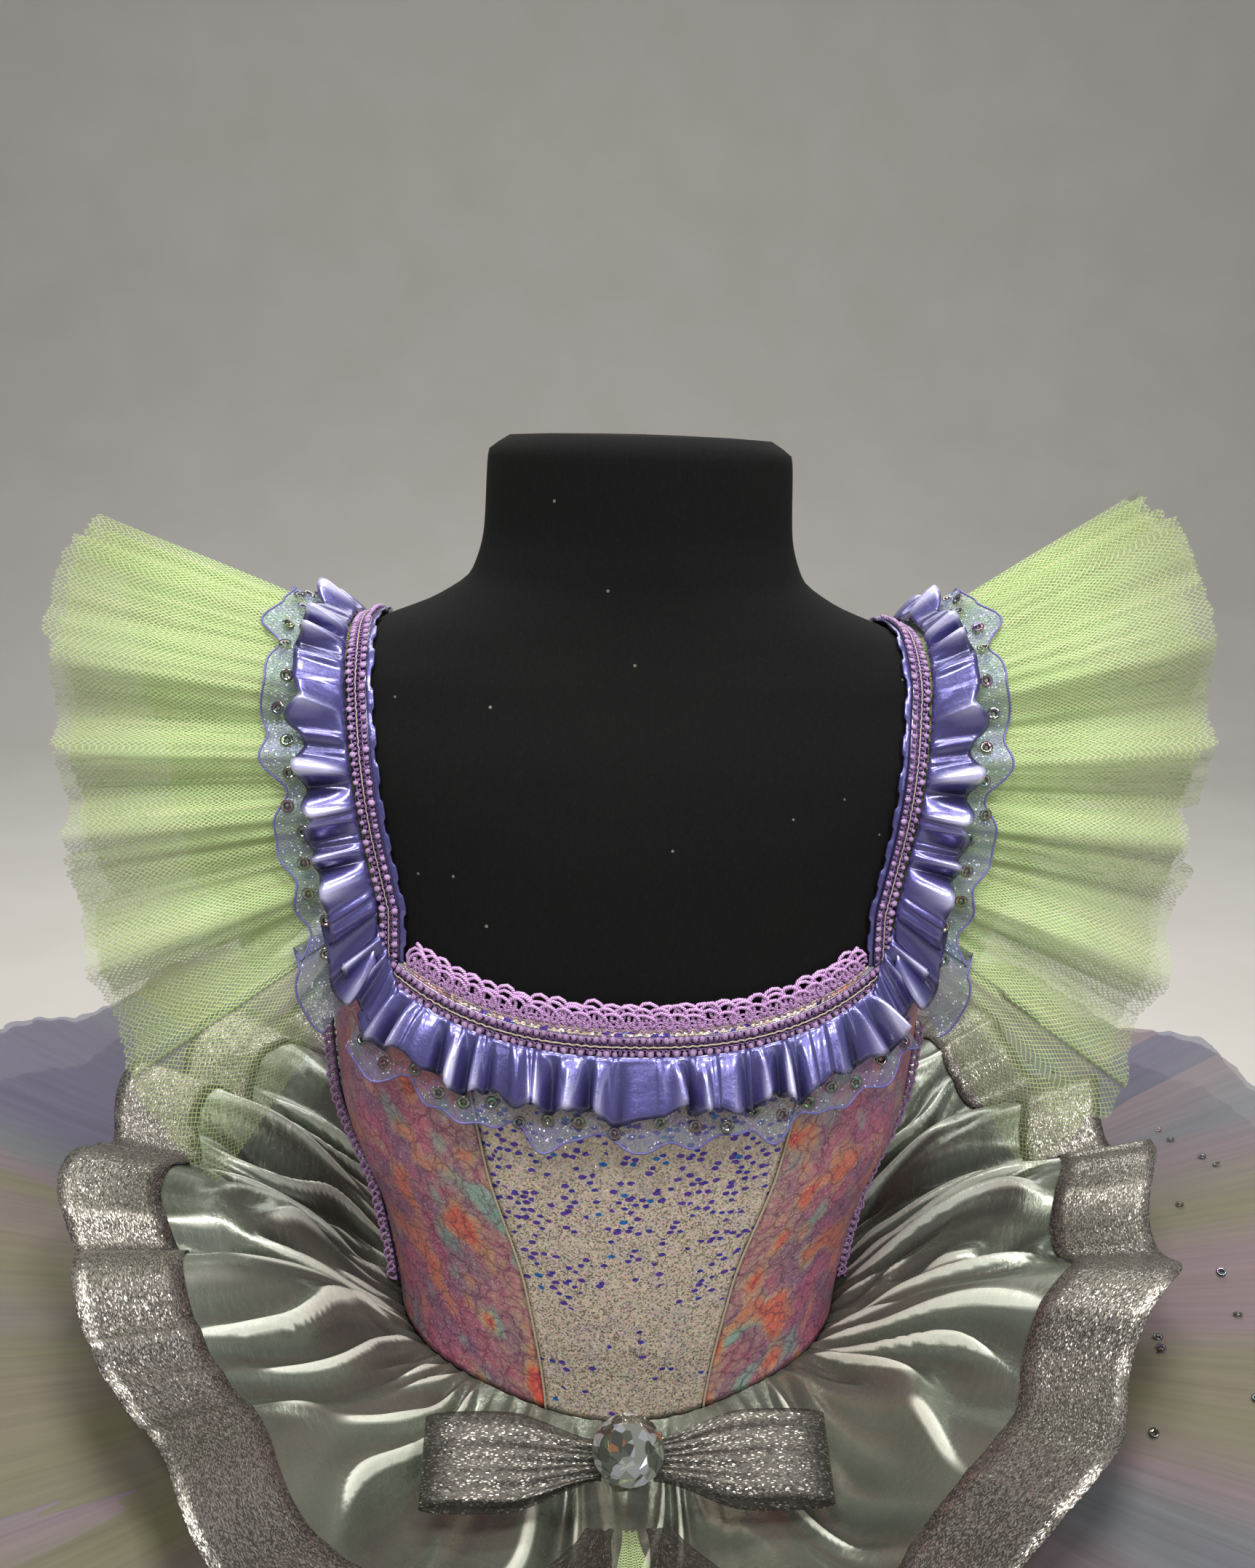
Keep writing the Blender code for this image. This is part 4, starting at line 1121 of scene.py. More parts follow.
# Panels: seams, fabric, cut width and length in millimetres, and area in square centimetres
PANELS = (
    ("bodice_front_centre", -FRONT_SEAM, FRONT_SEAM, "pearl", 132, 174, 155),
    ("bodice_side_front_right", -SIDE_SEAM, -FRONT_SEAM, "bubble", 120, 182, 162),
    ("bodice_side_front_left", FRONT_SEAM, SIDE_SEAM, "bubble", 120, 182, 162),
    ("bodice_back_right", -BACK_SEAM, -SIDE_SEAM, "bubble", 196, 184, 266),
    ("bodice_back_left", SIDE_SEAM, BACK_SEAM, "bubble", 196, 184, 266),
)

PANEL_WALL = -0.9
PLACKET_OUT = 4.2
PIPING_RADIUS = 0.45
NECK_PIPING_RADIUS = 0.5
PIPING_POINTS = 90
PIPING_SIDES = 8
PIPING_SHADE = 0.9

# Column of a side front panel that lies by the front panel, as a share
BY_THE_FRONT = {"bodice_side_front_right": 1.0, "bodice_side_front_left": 0.0}


def panel_grid(left_seam, right_seam, columns=40, rows=56, out=BODICE_OUTSIDE, rise=0.0, short=0.0, seed=0):
    """A bodice panel between two seams, with slight drag lines across it near the waist."""
    up = np.linspace(0, 1, rows)[:, None]
    across = np.linspace(0, 1, columns)
    left = left_seam[0] + (left_seam[1] - left_seam[0]) * up
    right = right_seam[0] + (right_seam[1] - right_seam[0]) * up
    angle = left + (right - left) * across
    low, high = seam_height(angle) + rise, top_height(angle) - short
    drag = 0.28 * wander(up + 0.05 * across, 9, SEED + seed)
    drag = drag * bump_at(up, 0.12, 0.22) * np.sin(np.pi * across)
    dip = -0.35 * (bump_at(across, 0, 0.015) + bump_at(across, 1, 0.015))
    return body_point(angle, low + (high - low) * up, out + drag + dip)


def make_panel(name, grid, fabric):
    """A panel with its UV map in centimetres round the body and up it, so that its print isn't stretched.

    The shade of a side front panel rises to one at its seam with the front panel.
    """
    across = length_along(grid)
    across = across - across[:, grid.shape[1] // 2][:, None]
    up = length_along(np.moveaxis(grid, 0, 1)).T
    near = BY_THE_FRONT.get(name)
    shade = 0.4 if near is None else 1 - np.abs(np.linspace(0, 1, grid.shape[1]) - near)
    piece = Piece().add(grid, np.stack((across, up), -1) / 10, shade=shade)
    return piece.make(name + "_cloth", finish(fabric), (name,), fabric, PANEL_WALL)


class BodiceBuilder(bpy.types.Operator):
    """Make the bodice's panels, the lap at the back and the piping in the seams"""

    bl_idname = "tutu.make_bodice"
    bl_label = "Bodice"

    def execute(self, context):
        for number, (name, left, right, fabric, width, length, area) in enumerate(PANELS):
            grid = panel_grid(left + PANEL_GAP_ANGLE, right - PANEL_GAP_ANGLE, seed=number)
            made = make_panel(name, grid, fabric)
        left, right = -BACK_SEAM - PLACKET_OVERLAP_ANGLE, -BACK_SEAM + PLACKET_OVERLAP_ANGLE
        grid = panel_grid(left, right, 8, 60, PLACKET_OUT, PLACKET_RISE, PLACKET_SHORT)
        made = make_panel("back_placket", grid, "bubble")
        self.make_piping()
        return {"FINISHED"}

    def make_piping(self):
        """Cords along the four front and side seams and along the front of the neckline."""
        piping = Piece()
        share = np.linspace(0, 1, PIPING_POINTS)
        for seam in (-FRONT_SEAM, FRONT_SEAM, -SIDE_SEAM, SIDE_SEAM):
            angle = seam[0] + (seam[1] - seam[0]) * share
            height = seam_height(angle) + (top_height(angle) - seam_height(angle)) * share
            path = body_point(angle, height, BODICE_OUTSIDE + 0.1)
            add_tube(piping, path, body_normal(path), PIPING_RADIUS, PIPING_SIDES, PIPING_SHADE)
        angle = np.linspace(-CORNER_ANGLE + 6, CORNER_ANGLE - 6, PIPING_POINTS)
        path = body_point(angle, neck_height(angle) + EDGE_ABOVE_BRAID + 0.2, BODICE_OUTSIDE - 0.2)
        add_tube(piping, path, body_normal(path), NECK_PIPING_RADIUS, PIPING_SIDES, PIPING_SHADE)
        piping.make("seam_piping", finish("cream"), (), "pearl")


# Trims

STRAP_COLUMNS = 200
STRAP_OUT = 2.3
STRAP_WALL = -0.8
STRAP_LIP = 0.6
SCALLOPS = 22
SCALLOP_DEPTH = 0.5
STRAP_BRAID_OUT = 2.5
STRAP_BRAID = 8.4
SIDE_BRAID = 8.6
NECK_BRAID = 8.0
TRIM_OUT = 0.2
STRIP_WALL = 0.5
LINE_POINTS = 120

# Rows of lace: the three tall rows, by phase, middle and reach as shares of its height
LACE_ROWS = ((0.0, 0.72, 0.36), (0.45, 0.6, 0.36), (0.2, 0.42, 0.3))


def looped_thread(piece, line, across, out, pitch, reach, radius, phase, shade, wobble, seed, sides=5):
    """A thread that loops along a line: it steps forward and back once a loop, while it swings across."""
    loops = max(2, round((line.end - line.start) / pitch))
    turn = np.linspace(0, loops, loops * 10 + 1)
    share = turn / loops
    swing = 2 * np.pi * (turn + phase)
    distance = line.start + (line.end - line.start) * share + 0.42 * pitch * np.sin(swing)
    size = reach * (1 + wobble * wander(share, loops / 1.5, SEED + seed))
    lift = out + 0.35 * radius * np.sin(2 * swing)
    path, normal = line.path(np.clip(distance, 0, line.length), across + size * np.cos(swing), lift)
    add_tube(piece, path, normal, radius, sides, shade)


def add_beads(piece, line, across, out, pitch, seed):
    """Bead-like loops of thread in a row: ellipsoids, each turned and sized a little its own way."""
    count = int((line.end - line.start) / pitch)
    rng = np.random.default_rng(SEED + seed)
    distance = line.start + pitch * (np.arange(count) + 0.5 + rng.uniform(-0.12, 0.12, count))
    centre, normal = line.path(distance, across + rng.uniform(-0.2, 0.2, count), out)
    way = line.at(distance)[2]
    lean = rng.uniform(-0.5, 0.5, count)[:, None]
    along = unit(np.cross(way, normal))
    size = rng.uniform(0.8, 1.25, count)[:, None, None, None]
    parts = (centre, normal, unit(way + lean * along), unit(along - lean * way))
    centre, normal, long_way, short_way = (part[:, None, None] for part in parts)
    turn = np.linspace(0, 2 * np.pi, 8, endpoint=False)[:, None]
    tip = np.linspace(-np.pi / 2 + 0.25, np.pi / 2 - 0.25, 5)[:, None, None]
    ring = 0.98 * np.cos(turn) * short_way + 0.8 * np.sin(turn) * normal
    points = centre + size * (np.cos(tip) * ring + 1.25 * np.sin(tip) * long_way)
    piece.add(points, wrap=True, shade=1.0)


def make_braid(name, line, width, sizes, seed, gap=1.0, cord=0.3):
    """Gimp braid: a dark strip, beads of thread along both edges, loops between them and a cream cord."""
    half, pitch = width / 2, sizes.loop_pitch
    distance = np.linspace(line.start, line.end, LINE_POINTS)
    rows = line.path(distance, np.linspace(half - 0.6, -half + 0.6, 4)[:, None], 0.25)[0]
    Piece().add(rows).make(name + "_strip", finish("strip"), (), "braid", STRIP_WALL)
    threads = Piece()
    for side, wider in ((-1, 1.12), (1, 1.0)):
        add_beads(threads, line, side * (half - 1.35), 1.35, gap * pitch * wider, seed + side)
        edge = side * (half - 1.9)
        looped_thread(threads, line, edge, 0.85, pitch * 0.7, 0.9, 0.3, 0.5, 0.5, 0.15, seed + 4, 4)
    looped_thread(threads, line, 0.0, 0.7, pitch * 0.75, 1.0, 0.26, 0.0, 0.1, 0.1, seed + 7, 4)
    threads.make(name + "_threads", finish("braid"), (name,), "braid")
    distance = np.linspace(line.start, line.end, max(8, int((line.end - line.start) / 1.5)))
    path, normal = line.path(distance, 0.25 * np.sin(distance * 1.9), 1.35)
    middle = Piece()
    add_tube(middle, path, normal, cord, 6, 0.95)
    middle.make(name + "_cord", finish("cream"), (), "braid")


def neck_line(name, short):
    """The neckline's middle line, less a short angle at each end, with its normals and the way up it."""
    middle, reach = NECKS[name][:2]
    angle = np.linspace(middle - reach + short, middle + reach - short, 160)
    points = body_point(angle, neck_height(angle), BODICE_OUTSIDE + TRIM_OUT)
    normal = body_normal(points)
    across = unit(np.cross(normal, np.gradient(points, axis=0)))
    return Line(points, normal, across * np.sign(across[:, 2:]))


class TrimBuilder(bpy.types.Operator):
    """Make the straps, braids and lace"""

    bl_idname = "tutu.make_trims"
    bl_label = "Straps, braids and lace"

    def execute(self, context):
        sizes = context.scene.tutu_sizes
        for name, side in SIDES:
            self.make_strap(name, side, sizes)
            self.make_side(name, side, sizes)
        for name in NECKS:
            line = neck_line(name, BRAID_END)
            make_braid(f"neck_braid_{name}", line, NECK_BRAID, sizes, 51 + len(name))
            self.make_lace(name, neck_line(name, LACE_END), sizes)
        return {"FINISHED"}

    def make_strap(self, name, side, sizes):
        """A satin strap with one scalloped edge, and the braid along it."""
        points, normal, across = strap_frame(side, np.linspace(STRAP_START, STRAP_END, STRAP_COLUMNS))
        edges = np.linspace(-STRAP_WIDTH / 2 - STRAP_LIP, STRAP_WIDTH / 2, 6)[:, None]
        edges = edges + np.zeros(STRAP_COLUMNS)
        swing = np.sin(np.linspace(0, 2 * SCALLOPS * np.pi, STRAP_COLUMNS))
        edges[0] += SCALLOP_DEPTH * np.sign(swing)
        grid = (points + across * edges[..., None] + normal * STRAP_OUT)[::-side]
        label = f"shoulder_strap_{name}"
        made = cloth(label + "_cloth", grid, finish("satin"), "satin", (label,), STRAP_WALL)
        line = Line(points + normal * STRAP_BRAID_OUT, normal, across)
        make_braid(f"strap_braid_{name}", line, STRAP_BRAID, sizes, 31 + side, 1.3, 0.2)

    def make_side(self, name, side, sizes):
        """The braid up a side seam, and two rows of lilac loops that stand out along it."""
        height = np.linspace(SIDE_BRAID_FROM, ARMHOLE - SIDE_BRAID_BELOW_ARMHOLE, LINE_POINTS)
        points = body_point(side * (SIDE_SEAM_ANGLE - 1.5), height, BODICE_OUTSIDE + 0.8)
        normal = body_normal(points)
        way = unit(np.cross(np.gradient(points, axis=0), normal))
        make_braid(f"side_braid_{name}", Line(points, normal, way), SIDE_BRAID, sizes, 41 + side)
        loops, outer = Piece(), Line(points, way, normal)
        pitch = sizes.loop_pitch * 1.4
        for number, shift in enumerate((-1.5, 1.5)):
            phase, seed = 0.4 * number, 45 + number
            looped_thread(loops, outer, 2.4, shift, pitch, 2.1, 0.55, phase, 0.95, 0.3, seed)
        loops.make(f"side_loops_{name}", finish("lace"), (), "braid")

    def make_lace(self, name, line, sizes):
        """Picot lace: tall uneven loops over a band of small ones, standing up from the braid."""
        lace = Piece()
        for number, (phase, middle, reach) in enumerate(LACE_ROWS):
            across = LACE_FROM + sizes.lace_height * middle
            pitch, reach = sizes.lace_pitch * (1 - 0.06 * number), sizes.lace_height * reach
            out, shade = 0.5 * number - 0.8, 1.0 - 0.12 * number
            looped_thread(lace, line, across, out, pitch, reach, 0.68, phase, shade, 0.45, 60 + number)
        for number, shift in enumerate((0.3, 1.7)):
            across, phase = LACE_FROM + shift, 0.3 * number
            looped_thread(lace, line, across, -0.3, 2.7, 1.2, 0.48, phase, 0.75, 0.3, 64 + number)
        lace.make(f"neck_lace_{name}_threads", finish("lace"), (f"neck_lace_{name}",), "lace")


# Frills, sequins and wings

# Heights of the organza and satin over the cloth below
NECK_LIFTS = (0.4, 2.4)
WING_LIFT = SHOULDER_FRILL_OUT + FRILL_CLEAR
STRAP_LIFTS = (WING_LIFT + FRILL_STEP, WING_LIFT + 2 * FRILL_STEP)
FRILL_ROWS = 12
POINTS_PER_FOLD = 26
SATIN_WALL = 0.45
SATIN_GROWTH = 0.65
SEQUIN_SIDES = 12
SEQUIN_TIP = 0.3
SEQUIN_CUP = 0.8
EDGE_THREAD = 0.42

# Corner frills: points along the two roots, the point where each starts and ends, and its own columns
CORNER_READ = 200
CORNER_FROM = {-1: 9, 1: -10}
CORNER_TO = 7
CORNER_COLUMNS = 90

# Layers of a wing: share of its depth, drop at its edge, and the share of its front end that is left out
WING_LAYERS = ((1.0, 0.0, 0.0), (0.97, -2.0, 0.07), (1.0, -4.0, 0.11))
WING_COLUMNS = 440
WING_ROWS = 20

# Rings of a cup sequin, from its rim to its hole and back underneath: radius, height and painted shade
SEQUIN_RINGS = np.array(
    (
        (1.0, 0.38, 0.3), (0.97, 0.52, 0.55), (0.66, 0.36, 1.0), (0.34, 0.28, 0.2), (0.28, 0.18, 0.0),
        (0.62, 0.2, 0.2), (1.0, 0.38, 0.3),
    )
)


class Root:
    """Where a frill is sewn: points along a line, the way it runs out from each, and the way it is raised."""

    def __init__(self, along, points, direction, normal, away=None):
        self.along, self.points, self.direction = along, points, direction
        self.normal, self.away = normal, away
        up = unit(np.cross(direction, np.gradient(points, axis=0)))
        self.up = up * np.sign(np.sum(up * normal, axis=-1, keepdims=True))

    def start(self, lift):
        """How far out a raised frill starts, so that raising it doesn't take it back across the line."""
        if self.away is None:
            return np.zeros(len(self.points))
        lean = -np.sum(self.up * self.away, axis=-1) / np.sum(self.direction * self.away, axis=-1)
        return np.clip(lean, 0, None) * lift

    def grid(self, depth, height):
        """Points of a frill: its root moved out by depth and raised by height, both rows by columns."""
        return self.points + self.direction * depth[..., None] + self.up * height[..., None]


def shoulder_root(side, count):
    """Root of one strap's frills, from the front over the shoulder to the back."""
    along = np.linspace(0, 1, count)
    first = FAN[0, FAN_TURN] + SHOULDER_FRILL_INSET
    last = FAN[-1, FAN_TURN] - SHOULDER_FRILL_INSET_BACK
    turn = first + (last - first) * along
    middle, normal, across = strap_frame(side, turn)
    return Root(along, middle + across * SHOULDER_FRILL_START, fan_direction(side, turn), normal, across)


def neck_root(name, count):
    """Root of one neckline's frills, which hang down and turn to meet the straps' frills at the corners."""
    middle, reach, inset, corner, _ = NECKS[name]
    along = np.linspace(0, 1, count)
    angle = middle + (reach - inset) * (2 * along - 1)
    points = body_point(angle, neck_height(angle) - FRILL_START, BODICE_OUTSIDE)
    normal = body_normal(points)
    side = np.where((angle + 180) % 360 - 180 < 0, -1.0, 1.0)
    end = fan_direction(side, np.full(count, FAN[corner, FAN_TURN]))
    down = unit(normal * np.array((NECK_FRILL_FLARE, NECK_FRILL_FLARE, 0)) + np.array((0, 0, -1.0)))
    weight = np.abs(2 * along - 1)[:, None] ** NECK_FRILL_TURN
    return Root(along, points, unit(down * (1 - weight) + end * weight), normal)


def shoulder_waves(along, depth, sizes):
    """Heights of the wing's, organza's and satin's own waves at each depth, to be laid on one another."""
    depth = np.clip(depth, 0, None)
    wing = WING_FOLD * (depth / sizes.wing_depth) ** FRILL_GROWTH
    organza = ORGANZA_FOLD * np.clip(depth / sizes.organza_depth, 0, 1) ** FRILL_GROWTH
    satin = SATIN_PUFF * np.clip(depth / sizes.satin_depth, 0, 1) ** SATIN_GROWTH
    flat = 1 - 0.45 * ease(depth / sizes.wing_depth)
    return (
        flat * wing * (2 * ruffle(along, WING_FOLDS, SEED) - 1),
        organza * ruffle(along, STRAP_ORGANZA_FOLDS, SEED + 3),
        satin * ruffle(along, STRAP_SATIN_FOLDS, SEED + 5, SATIN_UNEVEN),
    )


def neck_waves(along, depth, folds, sizes):
    """Heights of the organza's and satin's own waves at each depth, to be laid on one another."""
    satin_folds, organza_folds = folds
    organza = ORGANZA_FOLD * (np.clip(depth, 0, None) / sizes.organza_depth) ** FRILL_GROWTH
    satin = SATIN_PUFF * np.clip(depth / sizes.satin_depth, 0, 1.1) ** SATIN_GROWTH
    return (
        organza * ruffle(along, organza_folds, SEED + 11),
        satin * ruffle(along, satin_folds, SEED + 12, SATIN_UNEVEN),
    )


def hem_profile():
    """Shares of a satin frill's depth from root to edge and back under it, and the height lost in turning."""
    out = np.concatenate((np.linspace(0, 1, FRILL_ROWS), 1 - 0.16 * np.linspace(0.25, 1, 3)))
    under = np.concatenate((np.zeros(FRILL_ROWS), (0.8, 1.1, 1.2)))
    return out[:, None], under[:, None]


def satin_grid(root, lift, waves, depth_of, folds):
    """A satin frill, and the shade from which it gets painted shade in its valleys and a highlight on its
    crests.

    Its edge goes in and out with the folds and is turned under. The folds lean one way and then the other,
    and fine gathers stand at its root and fade outwards.
    """
    along = root.along
    out, under = hem_profile()
    puff = ruffle(along, folds, SEED + 12, SATIN_UNEVEN)
    reach = depth_of * (1.18 + 0.18 * wander(along, folds * 0.8, SEED + 8)) - 3.6 * puff
    start = root.start(lift) - SATIN_TUCK
    depth = start + (reach - start) * out
    pinch = np.clip(ruffle(along, folds * 2.3, SEED + 9, 0.4), 0, None) ** 2.2
    gathers = 1.7 * out**0.35 * (1 - 0.6 * out) * pinch
    height = lift + sum(waves(depth)) + gathers
    lean = 0.55 * wander(along, 5, SEED + 13) * (height - lift)
    grid = root.grid(depth, height - under) + lean[..., None] * unit(np.gradient(root.points, axis=0))
    return grid, relief(height, len(along) // folds // 2, 8.5)


def ragged(along, steps, seed):
    """A cut edge: short runs of slightly different depth with steep ends."""
    levels = np.random.default_rng(seed).uniform(-1, 1, steps)
    place = along * (steps - 1)
    low = np.clip(place.astype(int), 0, steps - 2)
    blend = ease((place - low - 0.5) / 0.06 + 0.5)
    return levels[low] * (1 - blend) + levels[low + 1] * blend


def make_sequins(name, centres, normals, radius):
    """Cup sequins: rings round a hole, lower in the middle, each tipped a little its own way."""
    rng = np.random.default_rng(SEED + len(centres))
    normals = unit(normals + rng.uniform(-SEQUIN_TIP, SEQUIN_TIP, centres.shape))
    side = unit(np.cross(normals, np.array((0.31, 0.52, 0.79))))
    other = np.cross(normals, side)
    centres, normals, side, other = (part[:, None, None] for part in (centres, normals, side, other))
    turn = np.linspace(0, 2 * np.pi, SEQUIN_SIDES, endpoint=False)[:, None]
    out, height, shade = SEQUIN_RINGS.T[..., None, None]
    points = centres + radius * out * (side * np.cos(turn) + other * np.sin(turn))
    points = points + radius * SEQUIN_CUP * height * normals
    Piece().add(points[:, ::-1], wrap=True, shade=shade[::-1, :, 0]).make(name, finish("sequin"))


class FrillBuilder(bpy.types.Operator):
    """Make the satin and organza frills with their sewn edges and sequins"""

    bl_idname = "tutu.make_frills"
    bl_label = "Satin and organza frills"

    def execute(self, context):
        sizes = context.scene.tutu_sizes
        for name, (*_, folds) in NECKS.items():
            root = neck_root(name, POINTS_PER_FOLD * folds[0])
            waves = partial(neck_waves, root.along, folds=folds, sizes=sizes)
            self.make_pair(name, root, NECK_LIFTS, waves, folds, sizes, -1, 1.0)
        folds = (STRAP_SATIN_FOLDS, STRAP_ORGANZA_FOLDS)
        for name, side in SIDES:
            root = shoulder_root(side, POINTS_PER_FOLD * folds[0])
            waves = partial(shoulder_waves, root.along, sizes=sizes)
            hang = 1 + 0.35 * bump_at(root.along, 0, 0.07)
            self.make_pair(name, root, STRAP_LIFTS, waves, folds, sizes, -side, hang)
            self.make_corner(name, side, sizes)
        return {"FINISHED"}

    def make_pair(self, name, root, lifts, waves, folds, sizes, way, hang):
        """An organza frill and the satin frill on it: way is how the columns run, hang the share of depth."""
        satin_folds, organza_folds = folds
        lift, satin_lift = lifts
        start = root.start(lift)
        uneven = 1 + 0.17 * wander(root.along, organza_folds * 1.3, SEED + 14)
        reach = sizes.organza_depth * hang * uneven
        depth = start + (reach - start) * np.linspace(0, 1, FRILL_ROWS)[:, None]
        grid = root.grid(depth, lift + sum(waves(depth)[:-1]))
        label = f"organza_frill_{name}"
        sheer = cloth(label + "_cloth", grid[:, ::way], finish("organza"), "organza", (label,), 0.0)
        edge = Piece()
        add_tube(edge, grid[-1], root.up, EDGE_THREAD, 6, 0.8)
        edge.make(f"organza_edge_{name}", finish("edge"), (), "organza")
        self.make_edge_sequins(name, root, lift, waves, sizes)
        grid, shade = satin_grid(root, satin_lift, waves, sizes.satin_depth * hang, satin_folds)
        depth = length_along(np.moveaxis(grid, 0, 1))[:, -1].mean()
        grid, shade = grid[:, ::way], shade[:, ::way]
        label = f"satin_frill_{name}"
        glossy = cloth(label + "_cloth", grid, finish("satin"), "satin", (label,), SATIN_WALL, shade=shade)

    def make_edge_sequins(self, name, root, lift, waves, sizes):
        """Cup sequins in an uneven row a little inside the organza's edge."""
        count = int(length_along(root.points)[-1] / sizes.sequin_pitch)
        place = (np.linspace(0.02, 0.98, count) * (len(root.along) - 1)).astype(int)
        inward = 0.78 + 0.07 * np.sin(np.arange(count) * 2.3)
        depth = np.broadcast_to((sizes.organza_depth * inward)[:, None], (count, len(root.along)))
        centres = root.grid(depth, lift + sum(waves(depth)[:-1]))[np.arange(count), place]
        up = root.up[place]
        make_sequins(f"organza_sequins_{name}", centres + up * 0.5, up, sizes.sequin_radius)

    def make_corner(self, name, side, sizes):
        """The end of the neck's satin, gathered up over the front end of the strap's."""
        neck, strap = neck_root("front", CORNER_READ), shoulder_root(side, CORNER_READ)
        first, last = CORNER_FROM[side], CORNER_TO
        along = np.linspace(0, 1, CORNER_COLUMNS)
        mix = ease(along)[:, None]
        gap = strap.points[last] - neck.points[first]
        way = neck.direction[first] * (1 - mix) + strap.direction[last] * mix
        normal = unit(neck.normal[first] * (1 - mix) + strap.normal[last] * mix)
        points = neck.points[first] + gap * along[:, None]
        root = Root(along, points, unit(way - 0.25 * unit(gap) * (0.5 - mix)), normal)
        out, under = hem_profile()
        puff = ruffle(along, 3, SEED + 16, 0.4)
        depth = sizes.satin_depth * (1.22 - 0.15 * puff) * out
        height = 3.2 + 4.6 * out**SATIN_GROWTH * puff + 0.8 * out**0.4 * ruffle(along, 8, SEED + 17)
        grid = root.grid(depth, height - under)
        # Relief of the folds, from which the satin gets painted shade in the valleys and a painted highlight
        # on the crests
        shade = relief(height, 14, 6.5)[:, ::side]
        made = cloth(
            f"frill_corner_{name}", grid[:, ::side], finish("satin"), "satin", (), SATIN_WALL, shade=shade
        )


class WingBuilder(bpy.types.Operator):
    """Make the net wings that stand out from the shoulders"""

    bl_idname = "tutu.make_wings"
    bl_label = "Net wings"

    def execute(self, context):
        sizes = context.scene.tutu_sizes
        for name, side in SIDES:
            root = shoulder_root(side, WING_COLUMNS)
            for layer in range(len(WING_LAYERS)):
                self.make_layer(name, side, root, layer, sizes)
        return {"FINISHED"}

    def make_layer(self, name, side, root, layer, sizes):
        """One layer of a wing: the wave that all share, its own waves, and gathers that fade outwards."""
        share, drop, left_out = WING_LAYERS[layer]
        seed = SEED + 70 + 5 * layer + side
        along, start = root.along, root.start(WING_LIFT)
        out = np.linspace(0, 1, WING_ROWS)[:, None]
        thin = bump_at(along, 0.0, 0.08)
        reach = sizes.wing_depth * share * (1 + 0.05 * thin)
        reach = reach * (1 + 0.055 * ragged(along, 13 + 3 * layer, seed))
        reach = reach + 0.9 * ragged(along, WING_COLUMNS, seed + 1)
        depth = start + (reach - start) * out
        wave = shoulder_waves(along, depth, sizes)[0]
        own = 2.6 * out * (ruffle(along, 19 + 5 * layer, seed + 2) - 0.5)
        gathers = (0.25 + 1.5 * (1 - out) ** 1.3) * ruffle(along, 58 + 5 * layer, seed + 3)
        grid = root.grid(depth, WING_LIFT + wave + drop * out + own + gathers - 0.5 * (layer > 0))
        first = int(left_out * WING_COLUMNS)
        # The shade is high at the outer rows and the front lobe, where the net is thinner and has painted
        # olive shade
        grid, shade = (part[:, first:][:, ::-side] for part in (grid, np.maximum(out, thin)))
        label = f"net_wing_{name}"
        stands_for = (label,) if layer == 0 else ()
        made = cloth(f"{label}_{layer + 1}", grid, finish("net"), "net", stands_for, 0.0, shade=shade)


# Skirts

OVERSKIRT_COLUMNS = 1152
OVERSKIRT_ROWS = np.concatenate((np.linspace(0, 0.3, 13), np.linspace(0.327, 1.0, 25)))
RIBBON_ROWS = np.linspace(0.985, 2.0, 8)
RIBBON_LIFT = 0.9
RIBBON_WALL = 0.4
TULLE_ROWS = np.linspace(0, 1, 9)
TULLE_COLUMNS = 1080
TULLE_FINISHES = 4
TULLE_SEQUINS = 44
TULLE_SINKS = (0.0, 3.0)


def ridge(phase):
    """A fold whose crest is narrower than its valley, from -1 to 1, once a turn of the phase."""
    wave = np.cos(2 * np.pi * phase)
    return 0.45 * wave + 0.55 * (2 * np.exp(2.6 * (wave - 1)) - 1)


def overskirt_fold(inner, front):
    """Height of the overskirt's main folds, less where it lies under the bow."""
    return OVERSKIRT_FOLD * inner**OVERSKIRT_GROWTH * (1 - 0.3 * front)


def overskirt_base(angle, inner, clear, reach):
    """Plan and height of the overskirt without folds: a line from waist to edge, raised as half a sine."""
    root = body_point(angle, seam_height(angle), clear)
    front = front_share(angle)
    rim = OVERSKIRT_SIDE_HEIGHT + (OVERSKIRT_FRONT_HEIGHT - OVERSKIRT_SIDE_HEIGHT) * front
    puff = (OVERSKIRT_PUFF * (1 - front) - BOW_DIP * front) * np.sin(np.pi * inner)
    edge = outward(angle) * np.asarray(reach)[..., None]
    plan = root[..., :2] + (edge - root[..., :2]) * inner[..., None]
    return plan, root[..., 2] + (rim - root[..., 2]) * inner + puff


